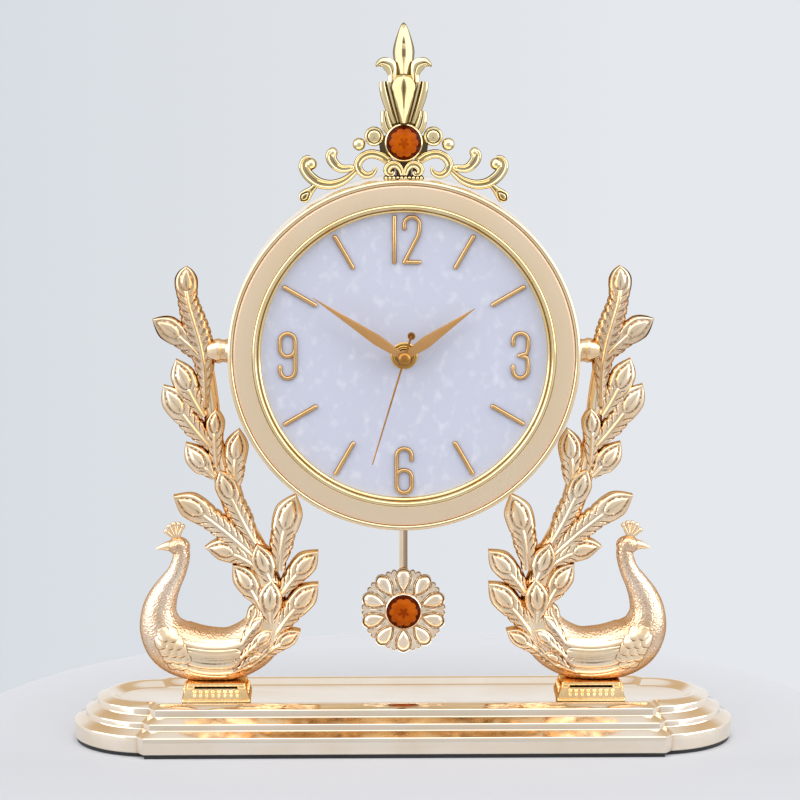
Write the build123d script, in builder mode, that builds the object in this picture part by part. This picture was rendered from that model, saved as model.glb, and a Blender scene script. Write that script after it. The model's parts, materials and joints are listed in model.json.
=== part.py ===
from build123d import *
import os
from math import asin, atan2, cos, degrees, pi, radians, sin, sqrt, tan

os.makedirs("parts", exist_ok=True)

# Driving dimensions in millimetres. The clock faces -Y and stands on Z = 0.
# Base: straight front and back, a rounded lobe at each end, three tiers
BASE_LENGTH = 328.0
BASE_DEPTH = 90.0
FRONT_RUN = 254.0
END_NOTCH = 4.5
TREAD = 5.8
RUN_STEP = 2.7
FIRST_RISER = 8.4
FIRST_SLOPE = 2.4
SECOND_RISER = 3.0
SECOND_SLOPE = 2.2
THIRD_RISER = 3.0
RIM_RISE = 2.5
RIM_SHOULDER = 3.5
RIM_CREST = 4.5
RIM_WIDTH = 12.0
PANEL_DROP = 3.0
BASE_WALL = 3.0
PLATE_THICKNESS = 2.0
PLATE_INSET = 1.0
PLATE_SCREW_X = 115.0
PLATE_SCREW_Y = 22.0
BASE_BOSS_RADIUS = 4.0

# Screws, all one pan-head size apart from their length
SCREW_RADIUS = 1.4
HEAD_RADIUS = 2.6
HEAD_THICKNESS = 1.2
HEAD_POCKET = 1.4
SCREW_BITE = 6.0

# Clearances
SCREW_GAP = 0.05
RUN_GAP = 0.05
SEAT_GAP = 0.05

# Pedestals, built up from the panel
PEDESTAL_LENGTH = 34.0
PEDESTAL_DEPTH = 28.0
PEDESTAL_FOOT = 2.0
PEDESTAL_BAND = 4.2
PEDESTAL_NECK = 1.2
PEDESTAL_CAP = 1.6
PEDESTAL_BAND_INSET = 1.6
PEDESTAL_NECK_INSET = 5.5
PEDESTAL_CAP_INSET = 1.9
PEDESTAL_SCREW_X = 7.0

# Case and dial, centred on the hands
CASE_Z = 194.0
CASE_RADIUS = 85.4
CASE_FRONT = -25.0
CASE_BACK = 22.0
CASE_WALL = 2.4
CASE_EDGE = 0.8
BEZEL_RECESS = 0.4
BEZEL_THICKNESS = 1.2
BEZEL_GAP = 0.2
FLANGE_THICKNESS = 3.0
FLANGE_COVER = 2.6
SKIRT_WIDTH = 2.3
BEZEL_BAND = 8.8
DIAL_MARGIN = 2.5
DIAL_THICKNESS = 1.2
DIAL_SCREW_INSET = 6.5
DIAL_SCREW_BITE = 2.2
DIAL_BORE = 4.1
BAR_MARGIN = 1.7
BAR_LENGTH = 19.0
BAR_WIDTH = 2.0
MARK_THICKNESS = 1.5
NUMERAL_HEIGHT = 24.0
NUMERAL_WIDTH = 9.4
NUMERAL_STROKE = 1.9
NUMERAL_LEG = 2.0
NUMERAL_WAIST = 2.4
NUMERAL_MARGIN = 0.9
ONE_OFFSET = 4.7
TWO_OFFSET = 3.7
COVER_THICKNESS = 2.4
COVER_GAP = 0.3
COVER_SCREW_INSET = 4.5
COVER_BOSS_RADIUS = 5.5
COVER_BOSS_LENGTH = 12.0
COVER_WINDOW_MARGIN = 3.0

# Side posts between the case and the tails
POST_RADIUS = 6.2
POST_LENGTH = 7.0
TAIL_SEAT = 0.6
TAIL_BOSS = 7.0

# Quartz movement
CUSHION_THICKNESS = 1.0
CUSHION_RADIUS = 9.0
MOVEMENT_WIDTH = 58.0
MOVEMENT_ABOVE = 30.0
MOVEMENT_BELOW = 48.0
MOVEMENT_ROOM = 13.2
SHELL_FRONT = 1.8
SHELL_WALL = 1.5
PARTITION_X = 10.2
BUSH_RADIUS = 3.9
WASHER_RADIUS = 6.45
WASHER_THICKNESS = 0.8
NUT_RADIUS = 5.2
NUT_THICKNESS = 2.0
BUSH_PROUD = 1.2
HOUR_TUBE_RADIUS = 2.0
MINUTE_TUBE_RADIUS = 1.05
SECOND_ARBOR_RADIUS = 0.5
KNOB_ARBOR_RADIUS = 1.0
PIVOT_RADIUS = 0.4
ARBOR_RADIUS = 0.5
PIVOT_END = 0.1
KNOB_RADIUS = 4.0
KNOB_THICKNESS = 4.0
CELL_RADIUS = 7.1
CELL_LENGTH = 50.0
NIPPLE_RADIUS = 2.7
NIPPLE_HEIGHT = 1.0
CELL_TOP = 22.0
CELL_GAP = 0.05
CONTACT_THICKNESS = 0.5
CONTACT_WIDTH = 8.0

# Wheel train: centre distances, tooth counts, tooth form and layers behind the front shell
MOTION_CENTRES = 6.0
THIRD_CENTRES = 7.8
FIFTH_CENTRES = 7.92
ROTOR_CENTRES = 7.14
MOTION_ANGLE = 150.0
THIRD_ANGLE = 225.0
FIFTH_ANGLE = 75.0
ROTOR_ANGLE = 110.0
PINION_TEETH = 12
MINUTE_WHEEL_TEETH = 36
MINUTE_PINION_TEETH = 10
HOUR_WHEEL_TEETH = 40
CENTRE_WHEEL_TEETH = 96
THIRD_WHEEL_TEETH = 90
SECOND_WHEEL_TEETH = 60
FIFTH_WHEEL_TEETH = 72
ADDENDUM = 0.8
DEDENDUM = 1.15
TOOTH_SLACK = 0.25
TOOTH_SLOPE = 20.0
WHEEL_THICKNESS = 0.8
PINION_SPARE = 0.2
MINUTE_HUB = 0.85
HOUR_LAYER = 0.4
MINUTE_LAYER = 2.1
CENTRE_LAYER = 3.7
THIRD_LAYER = 5.3
SECOND_LAYER = 6.9
FIFTH_LAYER = 8.5
ROTOR_LAYER = 10.2
ROTOR_RADIUS = 3.0
ROTOR_THICKNESS = 2.0
STATOR_THICKNESS = 1.0
STATOR_RADIUS = 6.0
STATOR_BORE = 3.5
STATOR_LEG = 4.0
COIL_REACH = 17.6
COIL_WIDTH = 10.0
COIL_LENGTH = 14.0
COIL_TAIL = 1.0
COIL_THICKNESS = 3.6
BOARD_WIDTH = 30.0
BOARD_HEIGHT = 16.0
BOARD_THICKNESS = 1.0

# Hands: lengths, widths, heights in front of the dial and the time they show
HOUR_LENGTH = 41.5
MINUTE_LENGTH = 53.0
SECOND_LENGTH = 54.0
HOUR_WIDTH = 5.6
MINUTE_WIDTH = 5.0
SECOND_WIDTH = 1.1
SECOND_TAIL = 9.6
TAIL_BALL_RADIUS = 1.9
HAND_THICKNESS = 0.6
HAND_ROOT = 1.4
HOUR_HUB_RADIUS = 3.4
MINUTE_HUB_RADIUS = 2.8
CAP_RADIUS = 3.2
CAP_HEIGHT = 1.4
HOUR_LIFT = 6.1
MINUTE_LIFT = 9.4
SECOND_LIFT = 11.6
SHOWN_MINUTES = 110.6
SHOWN_SECONDS = 32.8

# Pendulum
PIVOT_HEIGHT = 24.0
PIVOT_PIN_RADIUS = 1.0
PIVOT_HEAD_RADIUS = 1.9
PIVOT_HEAD_THICKNESS = 0.6
HANGER_THICKNESS = 2.2
HANGER_WIDTH = 6.0
HANGER_CLEARANCE = 0.4
HANGER_BELOW = 8.0
MAGNET_RADIUS = 3.6
MAGNET_THICKNESS = 1.4
MAGNET_RIM = 1.6
MAGNET_ABOVE = 10.0
DRIVE_COIL_RADIUS = 6.0
DRIVE_COIL_THICKNESS = 4.0
PEG_RADIUS = 0.8
PEG_SPACING = 7.0
ROD_WIDTH = 3.8
ROD_THICKNESS = 1.6
BOB_Z = 64.0
BOB_RADIUS = 21.2
BOB_THICKNESS = 3.0
PETAL_COUNT = 10
PETAL_RISE = 1.4
PETAL_OUTER = 17.2
PETAL_WIDTH = 7.2
GEM_RADIUS = 8.3
GEM_TABLE = 5.6
GEM_CROWN = 2.4
GEM_GIRDLE = 0.8
GEM_SIDES = 10
GEM_GAP = 0.05
SETTING_RADIUS = 9.3
SETTING_RISE = 2.6
SETTING_POCKET = 1.6
SWING_ANGLE = 6.0
SWING_CLEARANCE = 1.6

# Crest
CREST_Y = -4.0
CREST_THICKNESS = 6.0
CREST_GEM_Z = 17.0
CREST_FOOT_WIDTH = 19.6
CREST_FOOT_DEPTH = 9.0
CREST_FOOT_RISE = 3.4
CREST_SCREW_X = 4.0
CREST_NECK = 6.0
SCROLL_KNOB = 0.4

# Heights and depths worked out from the driving dimensions
base_floor = PLATE_THICKNESS
first_top = base_floor + FIRST_RISER
second_foot = first_top + FIRST_SLOPE
second_top = second_foot + SECOND_RISER
third_foot = second_top + SECOND_SLOPE
third_top = third_foot + THIRD_RISER
rim_top = third_top + RIM_RISE
panel_z = rim_top - PANEL_DROP
pedestal_top = panel_z + PEDESTAL_FOOT + PEDESTAL_BAND + PEDESTAL_NECK + PEDESTAL_CAP
case_bore = CASE_RADIUS - CASE_WALL
case_top = CASE_Z + CASE_RADIUS
peacock_x = CASE_RADIUS + POST_LENGTH + TAIL_SEAT
inner_bezel_radius = case_bore - BEZEL_BAND
flange_bore = inner_bezel_radius - FLANGE_COVER
inner_bezel_bore = flange_bore - SKIRT_WIDTH
dial_radius = case_bore - DIAL_MARGIN
dial_screw_circle = case_bore - DIAL_SCREW_INSET
bar_inner = inner_bezel_bore - BAR_MARGIN - BAR_LENGTH
numeral_circle = inner_bezel_bore - NUMERAL_MARGIN - NUMERAL_HEIGHT / 2
cover_screw_circle = case_bore - COVER_SCREW_INSET
bezel_y = CASE_FRONT + BEZEL_RECESS + BEZEL_THICKNESS
dial_y = bezel_y + FLANGE_THICKNESS
dial_back = dial_y + DIAL_THICKNESS
shell_y = dial_back + CUSHION_THICKNESS
room_y = shell_y + SHELL_FRONT
room_back = room_y + MOVEMENT_ROOM
movement_back = room_back + SHELL_WALL
hanger_y = movement_back + HANGER_CLEARANCE
rod_y = hanger_y + HANGER_THICKNESS
rod_back = rod_y + ROD_THICKNESS
pivot_z = CASE_Z + PIVOT_HEIGHT
screw_hole = SCREW_RADIUS + SCREW_GAP


def facing(y, x=0.0, z=CASE_Z):
    """Plane square to the hands at depth y, drawn as seen from the front."""
    return Plane(origin=(x, y, z), x_dir=(1, 0, 0), z_dir=(0, -1, 0))


def base_outline(inset):
    """Plan of the base drawn in by an inset: straight middle, small notches, a lobe at each end."""
    run = FRONT_RUN / 2 - inset * RUN_STEP / TREAD
    depth = BASE_DEPTH / 2 - inset
    lobe = depth - END_NOTCH
    reach = BASE_LENGTH / 2 - inset
    with BuildSketch(mode=Mode.PRIVATE) as outline:
        with BuildLine():
            Polyline((-run, -lobe), (-run, -depth), (run, -depth), (run, -lobe))
            ThreePointArc((run, -lobe), (reach, 0), (run, lobe))
            Polyline((run, lobe), (run, depth), (-run, depth), (-run, lobe))
            ThreePointArc((-run, lobe), (-reach, 0), (-run, -lobe))
        make_face()
    return outline.sketch_local


def pan_screws(seats, length):
    """Group of screws, each with its head seated on a plane and its shank along that plane's normal."""
    with BuildPart() as screws:
        with Locations(*seats):
            Cylinder(HEAD_RADIUS, HEAD_THICKNESS, align=(Align.CENTER, Align.CENTER, Align.MAX))
            Cylinder(SCREW_RADIUS, length, align=(Align.CENTER, Align.CENTER, Align.MIN))
    return screws


# Bottom plate
plate_screw_places = [
    (x, y) for x in (-PLATE_SCREW_X, 0, PLATE_SCREW_X) for y in (-PLATE_SCREW_Y, PLATE_SCREW_Y)
]
with BuildPart() as bottom_plate:
    with BuildSketch():
        add(base_outline(PLATE_INSET))
    extrude(amount=PLATE_THICKNESS)
    with Locations(*[Plane(origin=(x, y, 0), z_dir=(0, 0, -1)) for x, y in plate_screw_places]):
        CounterBoreHole(screw_hole, HEAD_RADIUS + SCREW_GAP, HEAD_POCKET)
bottom_plate.part.label = "bottom_plate"
export_step(bottom_plate.part, "parts/bottom_plate.step")

bottom_plate_screws = pan_screws(
    [Plane.XY.offset(HEAD_POCKET) * Pos(x, y) for x, y in plate_screw_places], SCREW_BITE
)
bottom_plate_screws.part.label = "bottom_plate_screws"
export_step(bottom_plate_screws.part, "parts/bottom_plate_screws.step")

# Plinth: three risers, the slopes between them, the raised rim and the sunk top panel
pedestal_screw_places = [
    (side * peacock_x + x, 0) for side in (-1, 1) for x in (-PEDESTAL_SCREW_X, PEDESTAL_SCREW_X)
]
panel_underside = panel_z - BASE_WALL
third_inset = 2 * TREAD
panel_inset = third_inset + RIM_WIDTH
with BuildPart() as base_plinth:
    for inset, low, high in (
        (0, base_floor, first_top),
        (TREAD, second_foot, second_top),
        (third_inset, third_foot, third_top),
    ):
        with BuildSketch(Plane.XY.offset(low)):
            add(base_outline(inset))
        extrude(amount=high - low)
    for outer, inner, low, high in (
        (0, TREAD, first_top, second_foot),
        (TREAD, third_inset, second_top, third_foot),
        (third_inset, third_inset + RIM_SHOULDER, third_top, rim_top),
    ):
        with BuildSketch(Plane.XY.offset(low)):
            add(base_outline(outer))
        with BuildSketch(Plane.XY.offset(high)):
            add(base_outline(inner))
        loft(ruled=True)
    with BuildSketch(Plane.XY.offset(panel_z)):
        add(base_outline(panel_inset))
    with BuildSketch(Plane.XY.offset(rim_top)):
        add(base_outline(third_inset + RIM_SHOULDER + RIM_CREST))
    loft(ruled=True, mode=Mode.SUBTRACT)
    for inset, low, high in (
        (BASE_WALL, base_floor, first_top + FIRST_SLOPE - BASE_WALL - 1),
        (TREAD + BASE_WALL, base_floor, second_top + SECOND_SLOPE - BASE_WALL - 1),
        (third_inset + BASE_WALL, base_floor, panel_underside),
    ):
        with BuildSketch(Plane.XY.offset(low)):
            add(base_outline(inset))
        extrude(amount=high - low, mode=Mode.SUBTRACT)
    with BuildSketch(Plane.XY.offset(base_floor)):
        with Locations(*plate_screw_places):
            Circle(BASE_BOSS_RADIUS)
    extrude(amount=panel_underside - base_floor + BASE_WALL / 2)
    with BuildSketch(Plane.XY.offset(base_floor)):
        with Locations(*plate_screw_places):
            Circle(screw_hole)
    extrude(amount=SCREW_BITE, mode=Mode.SUBTRACT)
    with BuildSketch(Plane.XY.offset(panel_underside)):
        with Locations(*pedestal_screw_places):
            Circle(screw_hole)
    extrude(amount=BASE_WALL, mode=Mode.SUBTRACT)
base_plinth.part.label = "base_plinth"
export_step(base_plinth.part, "parts/base_plinth.step")

pedestal_screw_length = pedestal_top - panel_underside + SCREW_BITE
pedestal_screws = pan_screws(
    [Plane.XY.offset(panel_underside) * Pos(x, y) for x, y in pedestal_screw_places], pedestal_screw_length
)
pedestal_screws.part.label = "pedestal_screws"
export_step(pedestal_screws.part, "parts/pedestal_screws.step")

# Pedestals
for side, name in ((-1, "pedestal_left"), (1, "pedestal_right")):
    with BuildPart() as pedestal:
        low = panel_z
        for inset, height in (
            (0, PEDESTAL_FOOT),
            (PEDESTAL_BAND_INSET, PEDESTAL_BAND),
            (PEDESTAL_NECK_INSET, PEDESTAL_NECK),
            (PEDESTAL_CAP_INSET, PEDESTAL_CAP),
        ):
            with BuildSketch(Plane.XY.offset(low)):
                with Locations((side * peacock_x, 0)):
                    Rectangle(PEDESTAL_LENGTH - 2 * inset, PEDESTAL_DEPTH - 2 * inset)
            extrude(amount=height)
            low += height
        with BuildSketch(Plane.XY.offset(panel_z)):
            with Locations(*[(side * peacock_x + x, 0) for x in (-PEDESTAL_SCREW_X, PEDESTAL_SCREW_X)]):
                Circle(screw_hole)
        extrude(amount=pedestal_top - panel_z, mode=Mode.SUBTRACT)
    pedestal.part.label = name
    export_step(pedestal.part, f"parts/{name}.step")

# Peacocks: body and tail core follow one line of ellipses, then head, crown and feathers.
# Stations are x and z from the middle of the pedestal's foot, half width across the line, half depth.
BIRD_LINE = (
    (-17.0, 71.5, 4.2, 4.0),
    (-19.2, 63.5, 4.6, 4.4),
    (-23.0, 57.0, 5.8, 5.4),
    (-26.5, 50.0, 7.4, 7.0),
    (-28.3, 42.5, 9.0, 8.6),
    (-27.0, 34.5, 11.4, 10.4),
    (-22.0, 27.5, 13.6, 12.0),
    (-14.0, 23.3, 14.2, 13.0),
    (-3.5, 21.3, 13.9, 13.0),
    (8.0, 22.0, 13.2, 12.0),
    (18.5, 27.5, 12.6, 10.5),
    (25.5, 37.5, 10.5, 8.5),
    (26.5, 49.5, 8.2, 7.0),
    (24.5, 60.5, 7.0, 6.0),
    (20.0, 73.5, 6.0, 5.2),
    (13.5, 86.5, 5.5, 4.8),
    (7.5, 99.5, 5.0, 4.5),
    (3.0, 113.5, 4.5, 4.2),
    (0.0, 130.5, 4.2, 4.0),
    (-2.0, 150.5, 4.0, 3.8),
    (-4.5, 168.5, 3.6, 3.6),
    (-9.0, 186.5, 2.8, 3.2),
    (-12.5, 200.5, 2.2, 2.8),
)
# Feathers: root x, z, tip x, z, half width, sideways bow, half depth
FEATHERS = (
    (-4.0, 165.5, -12.6, 215.3, 5.5, 2.0, 4.4),
    (-4.0, 167.5, -30.0, 189.3, 6.2, -2.0, 3.9),
    (-5.0, 141.5, -18.6, 169.6, 6.3, 0.8, 5.1),
    (-2.0, 126.5, -24.8, 156.8, 6.6, 0.8, 5.5),
    (1.0, 116.5, 1.0, 145.3, 4.8, 0.8, 5.9),
    (10.0, 103.5, 12.2, 135.0, 6.0, 1.0, 5.3),
    (0.0, 111.5, -14.2, 128.2, 6.0, 0.6, 5.7),
    (20.0, 78.5, 2.7, 115.1, 6.0, 1.0, 7.2),
    (20.0, 70.5, -20.6, 101.6, 6.8, -2.0, 6.3),
    (31.5, 64.5, 39.9, 102.2, 7.2, 2.0, 6.1),
    (20.0, 66.5, -5.3, 75.8, 5.8, -2.4, 6.7),
    (28.0, 58.5, 20.8, 78.4, 6.0, 0.6, 8.3),
    (32.0, 52.5, 50.8, 73.7, 6.0, 0.8, 6.5),
    (22.0, 46.5, 8.3, 67.3, 6.0, -1.2, 7.7),
    (27.0, 38.5, 27.9, 60.6, 6.4, 0.6, 9.1),
    (29.0, 32.5, 50.7, 57.4, 6.5, 1.0, 7.4),
    (22.0, 20.5, 41.8, 33.4, 4.6, 0.8, 8.0),
)
FEATHER_ROOT = 0.45
FEATHER_FLARE = 0.85
FEATHER_POINT = 0.66
HEAD_AT = (-18.8, 76.2)
HEAD_SIZE = 5.0
BEAK_LENGTH = 11.0
BEAK_RADIUS = 2.4
BEAK_TIP = 0.4
CROWN = ((-20.5, 79.0), (-26.4, 84.6), (-21.0, 88.0), (-15.6, 86.8), (-16.6, 79.0))
CROWN_THICKNESS = 3.0


def line_plane(line, i):
    """Plane across the bird's line at one station, its x axis in the plane of the bird."""
    before = line[max(i - 1, 0)]
    after = line[min(i + 1, len(line) - 1)]
    run = after[0] - before[0]
    rise = after[1] - before[1]
    origin = (-peacock_x + line[i][0], 0, panel_z + line[i][1])
    return Plane(origin=origin, x_dir=(rise, 0, -run), z_dir=(run, 0, rise))


def feather(root_x, root_z, tip_x, tip_z, half_width, bow):
    """Leaf-shaped outline on a bowed spine, narrow at the root and pointed at the tip."""
    length = sqrt((tip_x - root_x) ** 2 + (tip_z - root_z) ** 2)
    across = (-(tip_z - root_z) / length, (tip_x - root_x) / length)

    def at(share, width):
        lift = width * half_width + 4 * bow * share * (1 - share)
        x = root_x + share * (tip_x - root_x) + lift * across[0]
        z = root_z + share * (tip_z - root_z) + lift * across[1]
        return (x, z)

    tip = (tip_x, tip_z)
    with BuildSketch(mode=Mode.PRIVATE) as leaf:
        with BuildLine():
            for edge in (1, -1):
                ThreePointArc(at(0, edge * FEATHER_ROOT), at(0.35, edge * FEATHER_FLARE), at(0.7, edge))
                ThreePointArc(at(0.7, edge), at(0.88, edge * FEATHER_POINT), tip)
            Line(at(0, FEATHER_ROOT), at(0, -FEATHER_ROOT))
        make_face()
    return leaf.sketch_local


tail_seat_x = -peacock_x + TAIL_SEAT
with BuildPart() as peacock_left:
    for i, station in enumerate(BIRD_LINE):
        with BuildSketch(line_plane(BIRD_LINE, i)):
            Ellipse(station[2], station[3])
    loft()
    with Locations((-peacock_x + HEAD_AT[0], 0, panel_z + HEAD_AT[1])):
        Sphere(HEAD_SIZE)
    with Locations(Plane(origin=(-peacock_x + HEAD_AT[0], 0, panel_z + HEAD_AT[1]), z_dir=(-1, 0, 0))):
        Cone(BEAK_RADIUS, BEAK_TIP, BEAK_LENGTH, align=(Align.CENTER, Align.CENTER, Align.MIN))
    with BuildSketch(facing(0, -peacock_x, panel_z)):
        with BuildLine():
            Polyline(*CROWN, close=True)
        make_face()
    extrude(amount=CROWN_THICKNESS / 2, both=True)
    for *shape, half_depth in FEATHERS:
        with BuildSketch(facing(0, -peacock_x, panel_z)):
            add(feather(*shape))
        extrude(amount=half_depth, both=True)
    with BuildSketch(Plane(origin=(tail_seat_x, 0, CASE_Z), z_dir=(-1, 0, 0))):
        Circle(POST_RADIUS)
    extrude(amount=TAIL_BOSS)
    split(bisect_by=Plane.XY.offset(pedestal_top), keep=Keep.TOP)
    with BuildSketch(Plane.XY.offset(pedestal_top)):
        with Locations((-peacock_x - PEDESTAL_SCREW_X, 0), (-peacock_x + PEDESTAL_SCREW_X, 0)):
            Circle(screw_hole)
    extrude(amount=SCREW_BITE, mode=Mode.SUBTRACT)
    with BuildSketch(Plane(origin=(tail_seat_x, 0, CASE_Z), z_dir=(-1, 0, 0))):
        Circle(screw_hole)
    extrude(amount=TAIL_BOSS - BASE_WALL, mode=Mode.SUBTRACT)
peacock_left.part.label = "peacock_left"
export_step(peacock_left.part, "parts/peacock_left.step")

with BuildPart() as peacock_right:
    mirror(peacock_left.part, about=Plane.YZ)
peacock_right.part.label = "peacock_right"
export_step(peacock_right.part, "parts/peacock_right.step")

# Side posts: round spacers hollowed to the drum, each held by a screw from inside the case
for side, name in ((-1, "side_post_left"), (1, "side_post_right")):
    with BuildPart() as side_post:
        with BuildSketch(Plane(origin=(-side * tail_seat_x, 0, CASE_Z), z_dir=(-side, 0, 0))):
            Circle(POST_RADIUS)
            Circle(screw_hole, mode=Mode.SUBTRACT)
        extrude(amount=-tail_seat_x - case_bore)
        with BuildSketch(facing(0)):
            Circle(CASE_RADIUS + SEAT_GAP)
        extrude(amount=2 * POST_RADIUS, both=True, mode=Mode.SUBTRACT)
    side_post.part.label = name
    export_step(side_post.part, f"parts/{name}.step")

side_seat = sqrt(case_bore**2 - HEAD_RADIUS**2)
side_post_screws = pan_screws(
    [Plane(origin=(side * side_seat, 0, CASE_Z), z_dir=(side, 0, 0)) for side in (-1, 1)],
    -tail_seat_x - side_seat + TAIL_BOSS - BASE_WALL - SCREW_GAP,
)
side_post_screws.part.label = "side_post_screws"
export_step(side_post_screws.part, "parts/side_post_screws.step")

# Case drum: tube with a front flange, bosses for the back cover and a slot for the pendulum rod
slot_reach = (pivot_z - CASE_Z + CASE_RADIUS) * tan(radians(SWING_ANGLE)) + ROD_WIDTH / 2 + SWING_CLEARANCE
cover_y = CASE_BACK - COVER_THICKNESS
crest_seat = sqrt(case_bore**2 - (CREST_SCREW_X + HEAD_RADIUS) ** 2)
with BuildPart() as case_drum:
    with BuildSketch(facing(CASE_BACK)):
        Circle(CASE_RADIUS)
        Circle(case_bore, mode=Mode.SUBTRACT)
    extrude(amount=CASE_BACK - CASE_FRONT)
    fillet(case_drum.faces().sort_by(Axis.Y)[0].outer_wire().edges(), CASE_EDGE)
    with BuildSketch(facing(dial_y)):
        Circle(case_bore + CASE_WALL / 2)
        Circle(flange_bore, mode=Mode.SUBTRACT)
    extrude(amount=FLANGE_THICKNESS)
    with BuildSketch(facing(cover_y)):
        with PolarLocations(cover_screw_circle, 4, start_angle=45):
            Circle(COVER_BOSS_RADIUS)
        Circle(case_bore + CASE_WALL / 2, mode=Mode.INTERSECT)
    extrude(amount=COVER_BOSS_LENGTH)
    with BuildSketch(facing(cover_y)):
        with PolarLocations(cover_screw_circle, 4, start_angle=45):
            Circle(screw_hole)
    extrude(amount=SCREW_BITE, mode=Mode.SUBTRACT)
    with BuildSketch(facing(dial_y)):
        with PolarLocations(dial_screw_circle, 4, start_angle=45):
            Circle(screw_hole)
    extrude(amount=DIAL_SCREW_BITE, mode=Mode.SUBTRACT)
    with BuildSketch(Plane.XY.offset(CASE_Z - CASE_RADIUS)):
        with Locations((0, (rod_y + rod_back) / 2)):
            Rectangle(2 * slot_reach, ROD_THICKNESS + 2 * SWING_CLEARANCE)
    extrude(amount=CASE_RADIUS - case_bore + SCREW_BITE, mode=Mode.SUBTRACT)
    with BuildSketch(Plane.XY.offset(CASE_Z)):
        with Locations((-CREST_SCREW_X, CREST_Y), (CREST_SCREW_X, CREST_Y)):
            Circle(screw_hole)
    extrude(amount=CASE_RADIUS, mode=Mode.SUBTRACT)
    with BuildSketch(Plane.YZ):
        with Locations((0, CASE_Z)):
            Circle(screw_hole)
    extrude(amount=CASE_RADIUS, both=True, mode=Mode.SUBTRACT)
case_drum.part.label = "case_drum"
export_step(case_drum.part, "parts/case_drum.step")

# Bezel face: flat champagne ring set just inside the rim
with BuildPart() as bezel_face:
    with BuildSketch(facing(bezel_y)):
        Circle(case_bore - BEZEL_GAP)
        Circle(inner_bezel_radius + BEZEL_GAP, mode=Mode.SUBTRACT)
    extrude(amount=BEZEL_THICKNESS)
bezel_face.part.label = "bezel_face"
export_step(bezel_face.part, "parts/bezel_face.step")

# Inner bezel: stepped ring whose skirt lines the flange down to the dial
with BuildPart() as inner_bezel:
    with BuildSketch(facing(bezel_y)):
        Circle(inner_bezel_radius)
        Circle(inner_bezel_bore, mode=Mode.SUBTRACT)
    extrude(amount=BEZEL_THICKNESS + BEZEL_RECESS)
    with BuildSketch(facing(dial_y)):
        Circle(flange_bore - BEZEL_GAP)
        Circle(inner_bezel_bore, mode=Mode.SUBTRACT)
    extrude(amount=FLANGE_THICKNESS)
    fillet(inner_bezel.faces().sort_by(Axis.Y)[0].outer_wire().edges(), BEZEL_THICKNESS / 2)
inner_bezel.part.label = "inner_bezel"
export_step(inner_bezel.part, "parts/inner_bezel.step")

# Dial with its centre hole and its four screws
with BuildPart() as dial:
    with BuildSketch(facing(dial_back)):
        Circle(dial_radius)
        Circle(DIAL_BORE, mode=Mode.SUBTRACT)
        with PolarLocations(dial_screw_circle, 4, start_angle=45):
            Circle(screw_hole, mode=Mode.SUBTRACT)
    extrude(amount=DIAL_THICKNESS)
dial.part.label = "dial"
export_step(dial.part, "parts/dial.step")

diagonals = [radians(45 + 90 * k) for k in range(4)]
dial_screws = pan_screws(
    [facing(dial_back, dial_screw_circle * cos(a), CASE_Z + dial_screw_circle * sin(a)) for a in diagonals],
    DIAL_THICKNESS + DIAL_SCREW_BITE - SCREW_GAP,
)
dial_screws.part.label = "dial_screws"
export_step(dial_screws.part, "parts/dial_screws.step")

# Hour bars at every hour that has no numeral
with BuildPart() as hour_bars:
    with BuildSketch(facing(dial_y)):
        for hour in (1, 2, 4, 5, 7, 8, 10, 11):
            with PolarLocations(bar_inner + BAR_LENGTH / 2, 1, start_angle=90 - 30 * hour):
                Rectangle(BAR_LENGTH, BAR_WIDTH)
    extrude(amount=MARK_THICKNESS)
hour_bars.part.label = "hour_bars"
export_step(hour_bars.part, "parts/hour_bars.step")

# Numerals: open strokes of one width, drawn about the middle of each figure
figure_x = (NUMERAL_WIDTH - NUMERAL_STROKE) / 2
figure_z = (NUMERAL_HEIGHT - NUMERAL_STROKE) / 2
bend_z = figure_z - figure_x
leg_z = bend_z - NUMERAL_LEG


def run(x0, z0, x1, z1):
    """Straight stroke with round ends."""
    with Locations(((x0 + x1) / 2, (z0 + z1) / 2)):
        SlotCenterToCenter(
            sqrt((x1 - x0) ** 2 + (z1 - z0) ** 2), NUMERAL_STROKE, degrees(atan2(z1 - z0, x1 - x0))
        )


def bend(z, upper):
    """Half ring across the figure, open downward when upper is 1 and upward when it is -1."""
    outer = figure_x + NUMERAL_STROKE / 2
    with BuildSketch(mode=Mode.PRIVATE) as ring:
        Circle(outer)
        Circle(figure_x - NUMERAL_STROKE / 2, mode=Mode.SUBTRACT)
        with Locations((0, -upper * outer)):
            Rectangle(2 * outer, 2 * outer, mode=Mode.SUBTRACT)
    with Locations((0, z)):
        add(ring.sketch_local)


def figure_one():
    run(0, figure_z, 0, -figure_z)


def figure_two():
    run(-figure_x, leg_z, -figure_x, bend_z)
    bend(bend_z, 1)
    run(figure_x, leg_z, figure_x, bend_z)
    run(figure_x, leg_z, -figure_x, -figure_z)
    run(-figure_x, -figure_z, figure_x, -figure_z)


def figure_three():
    for half in (1, -1):
        run(-figure_x, half * leg_z, -figure_x, half * bend_z)
        bend(half * bend_z, half)
        run(figure_x, half * NUMERAL_WAIST, figure_x, half * bend_z)
        run(0, 0, figure_x, half * NUMERAL_WAIST)


def figure_loop(half):
    """Six when half is 1, nine when it is -1: an oval with a long side carried on into a hook."""
    run(half * figure_x, half * leg_z, half * figure_x, half * bend_z)
    bend(half * bend_z, half)
    run(-half * figure_x, half * bend_z, -half * figure_x, -half * bend_z)
    bend(-half * bend_z, -half)
    run(half * figure_x, -half * bend_z, half * figure_x, half * (NUMERAL_WAIST - figure_x))
    bend(half * (NUMERAL_WAIST - figure_x), half)


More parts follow.
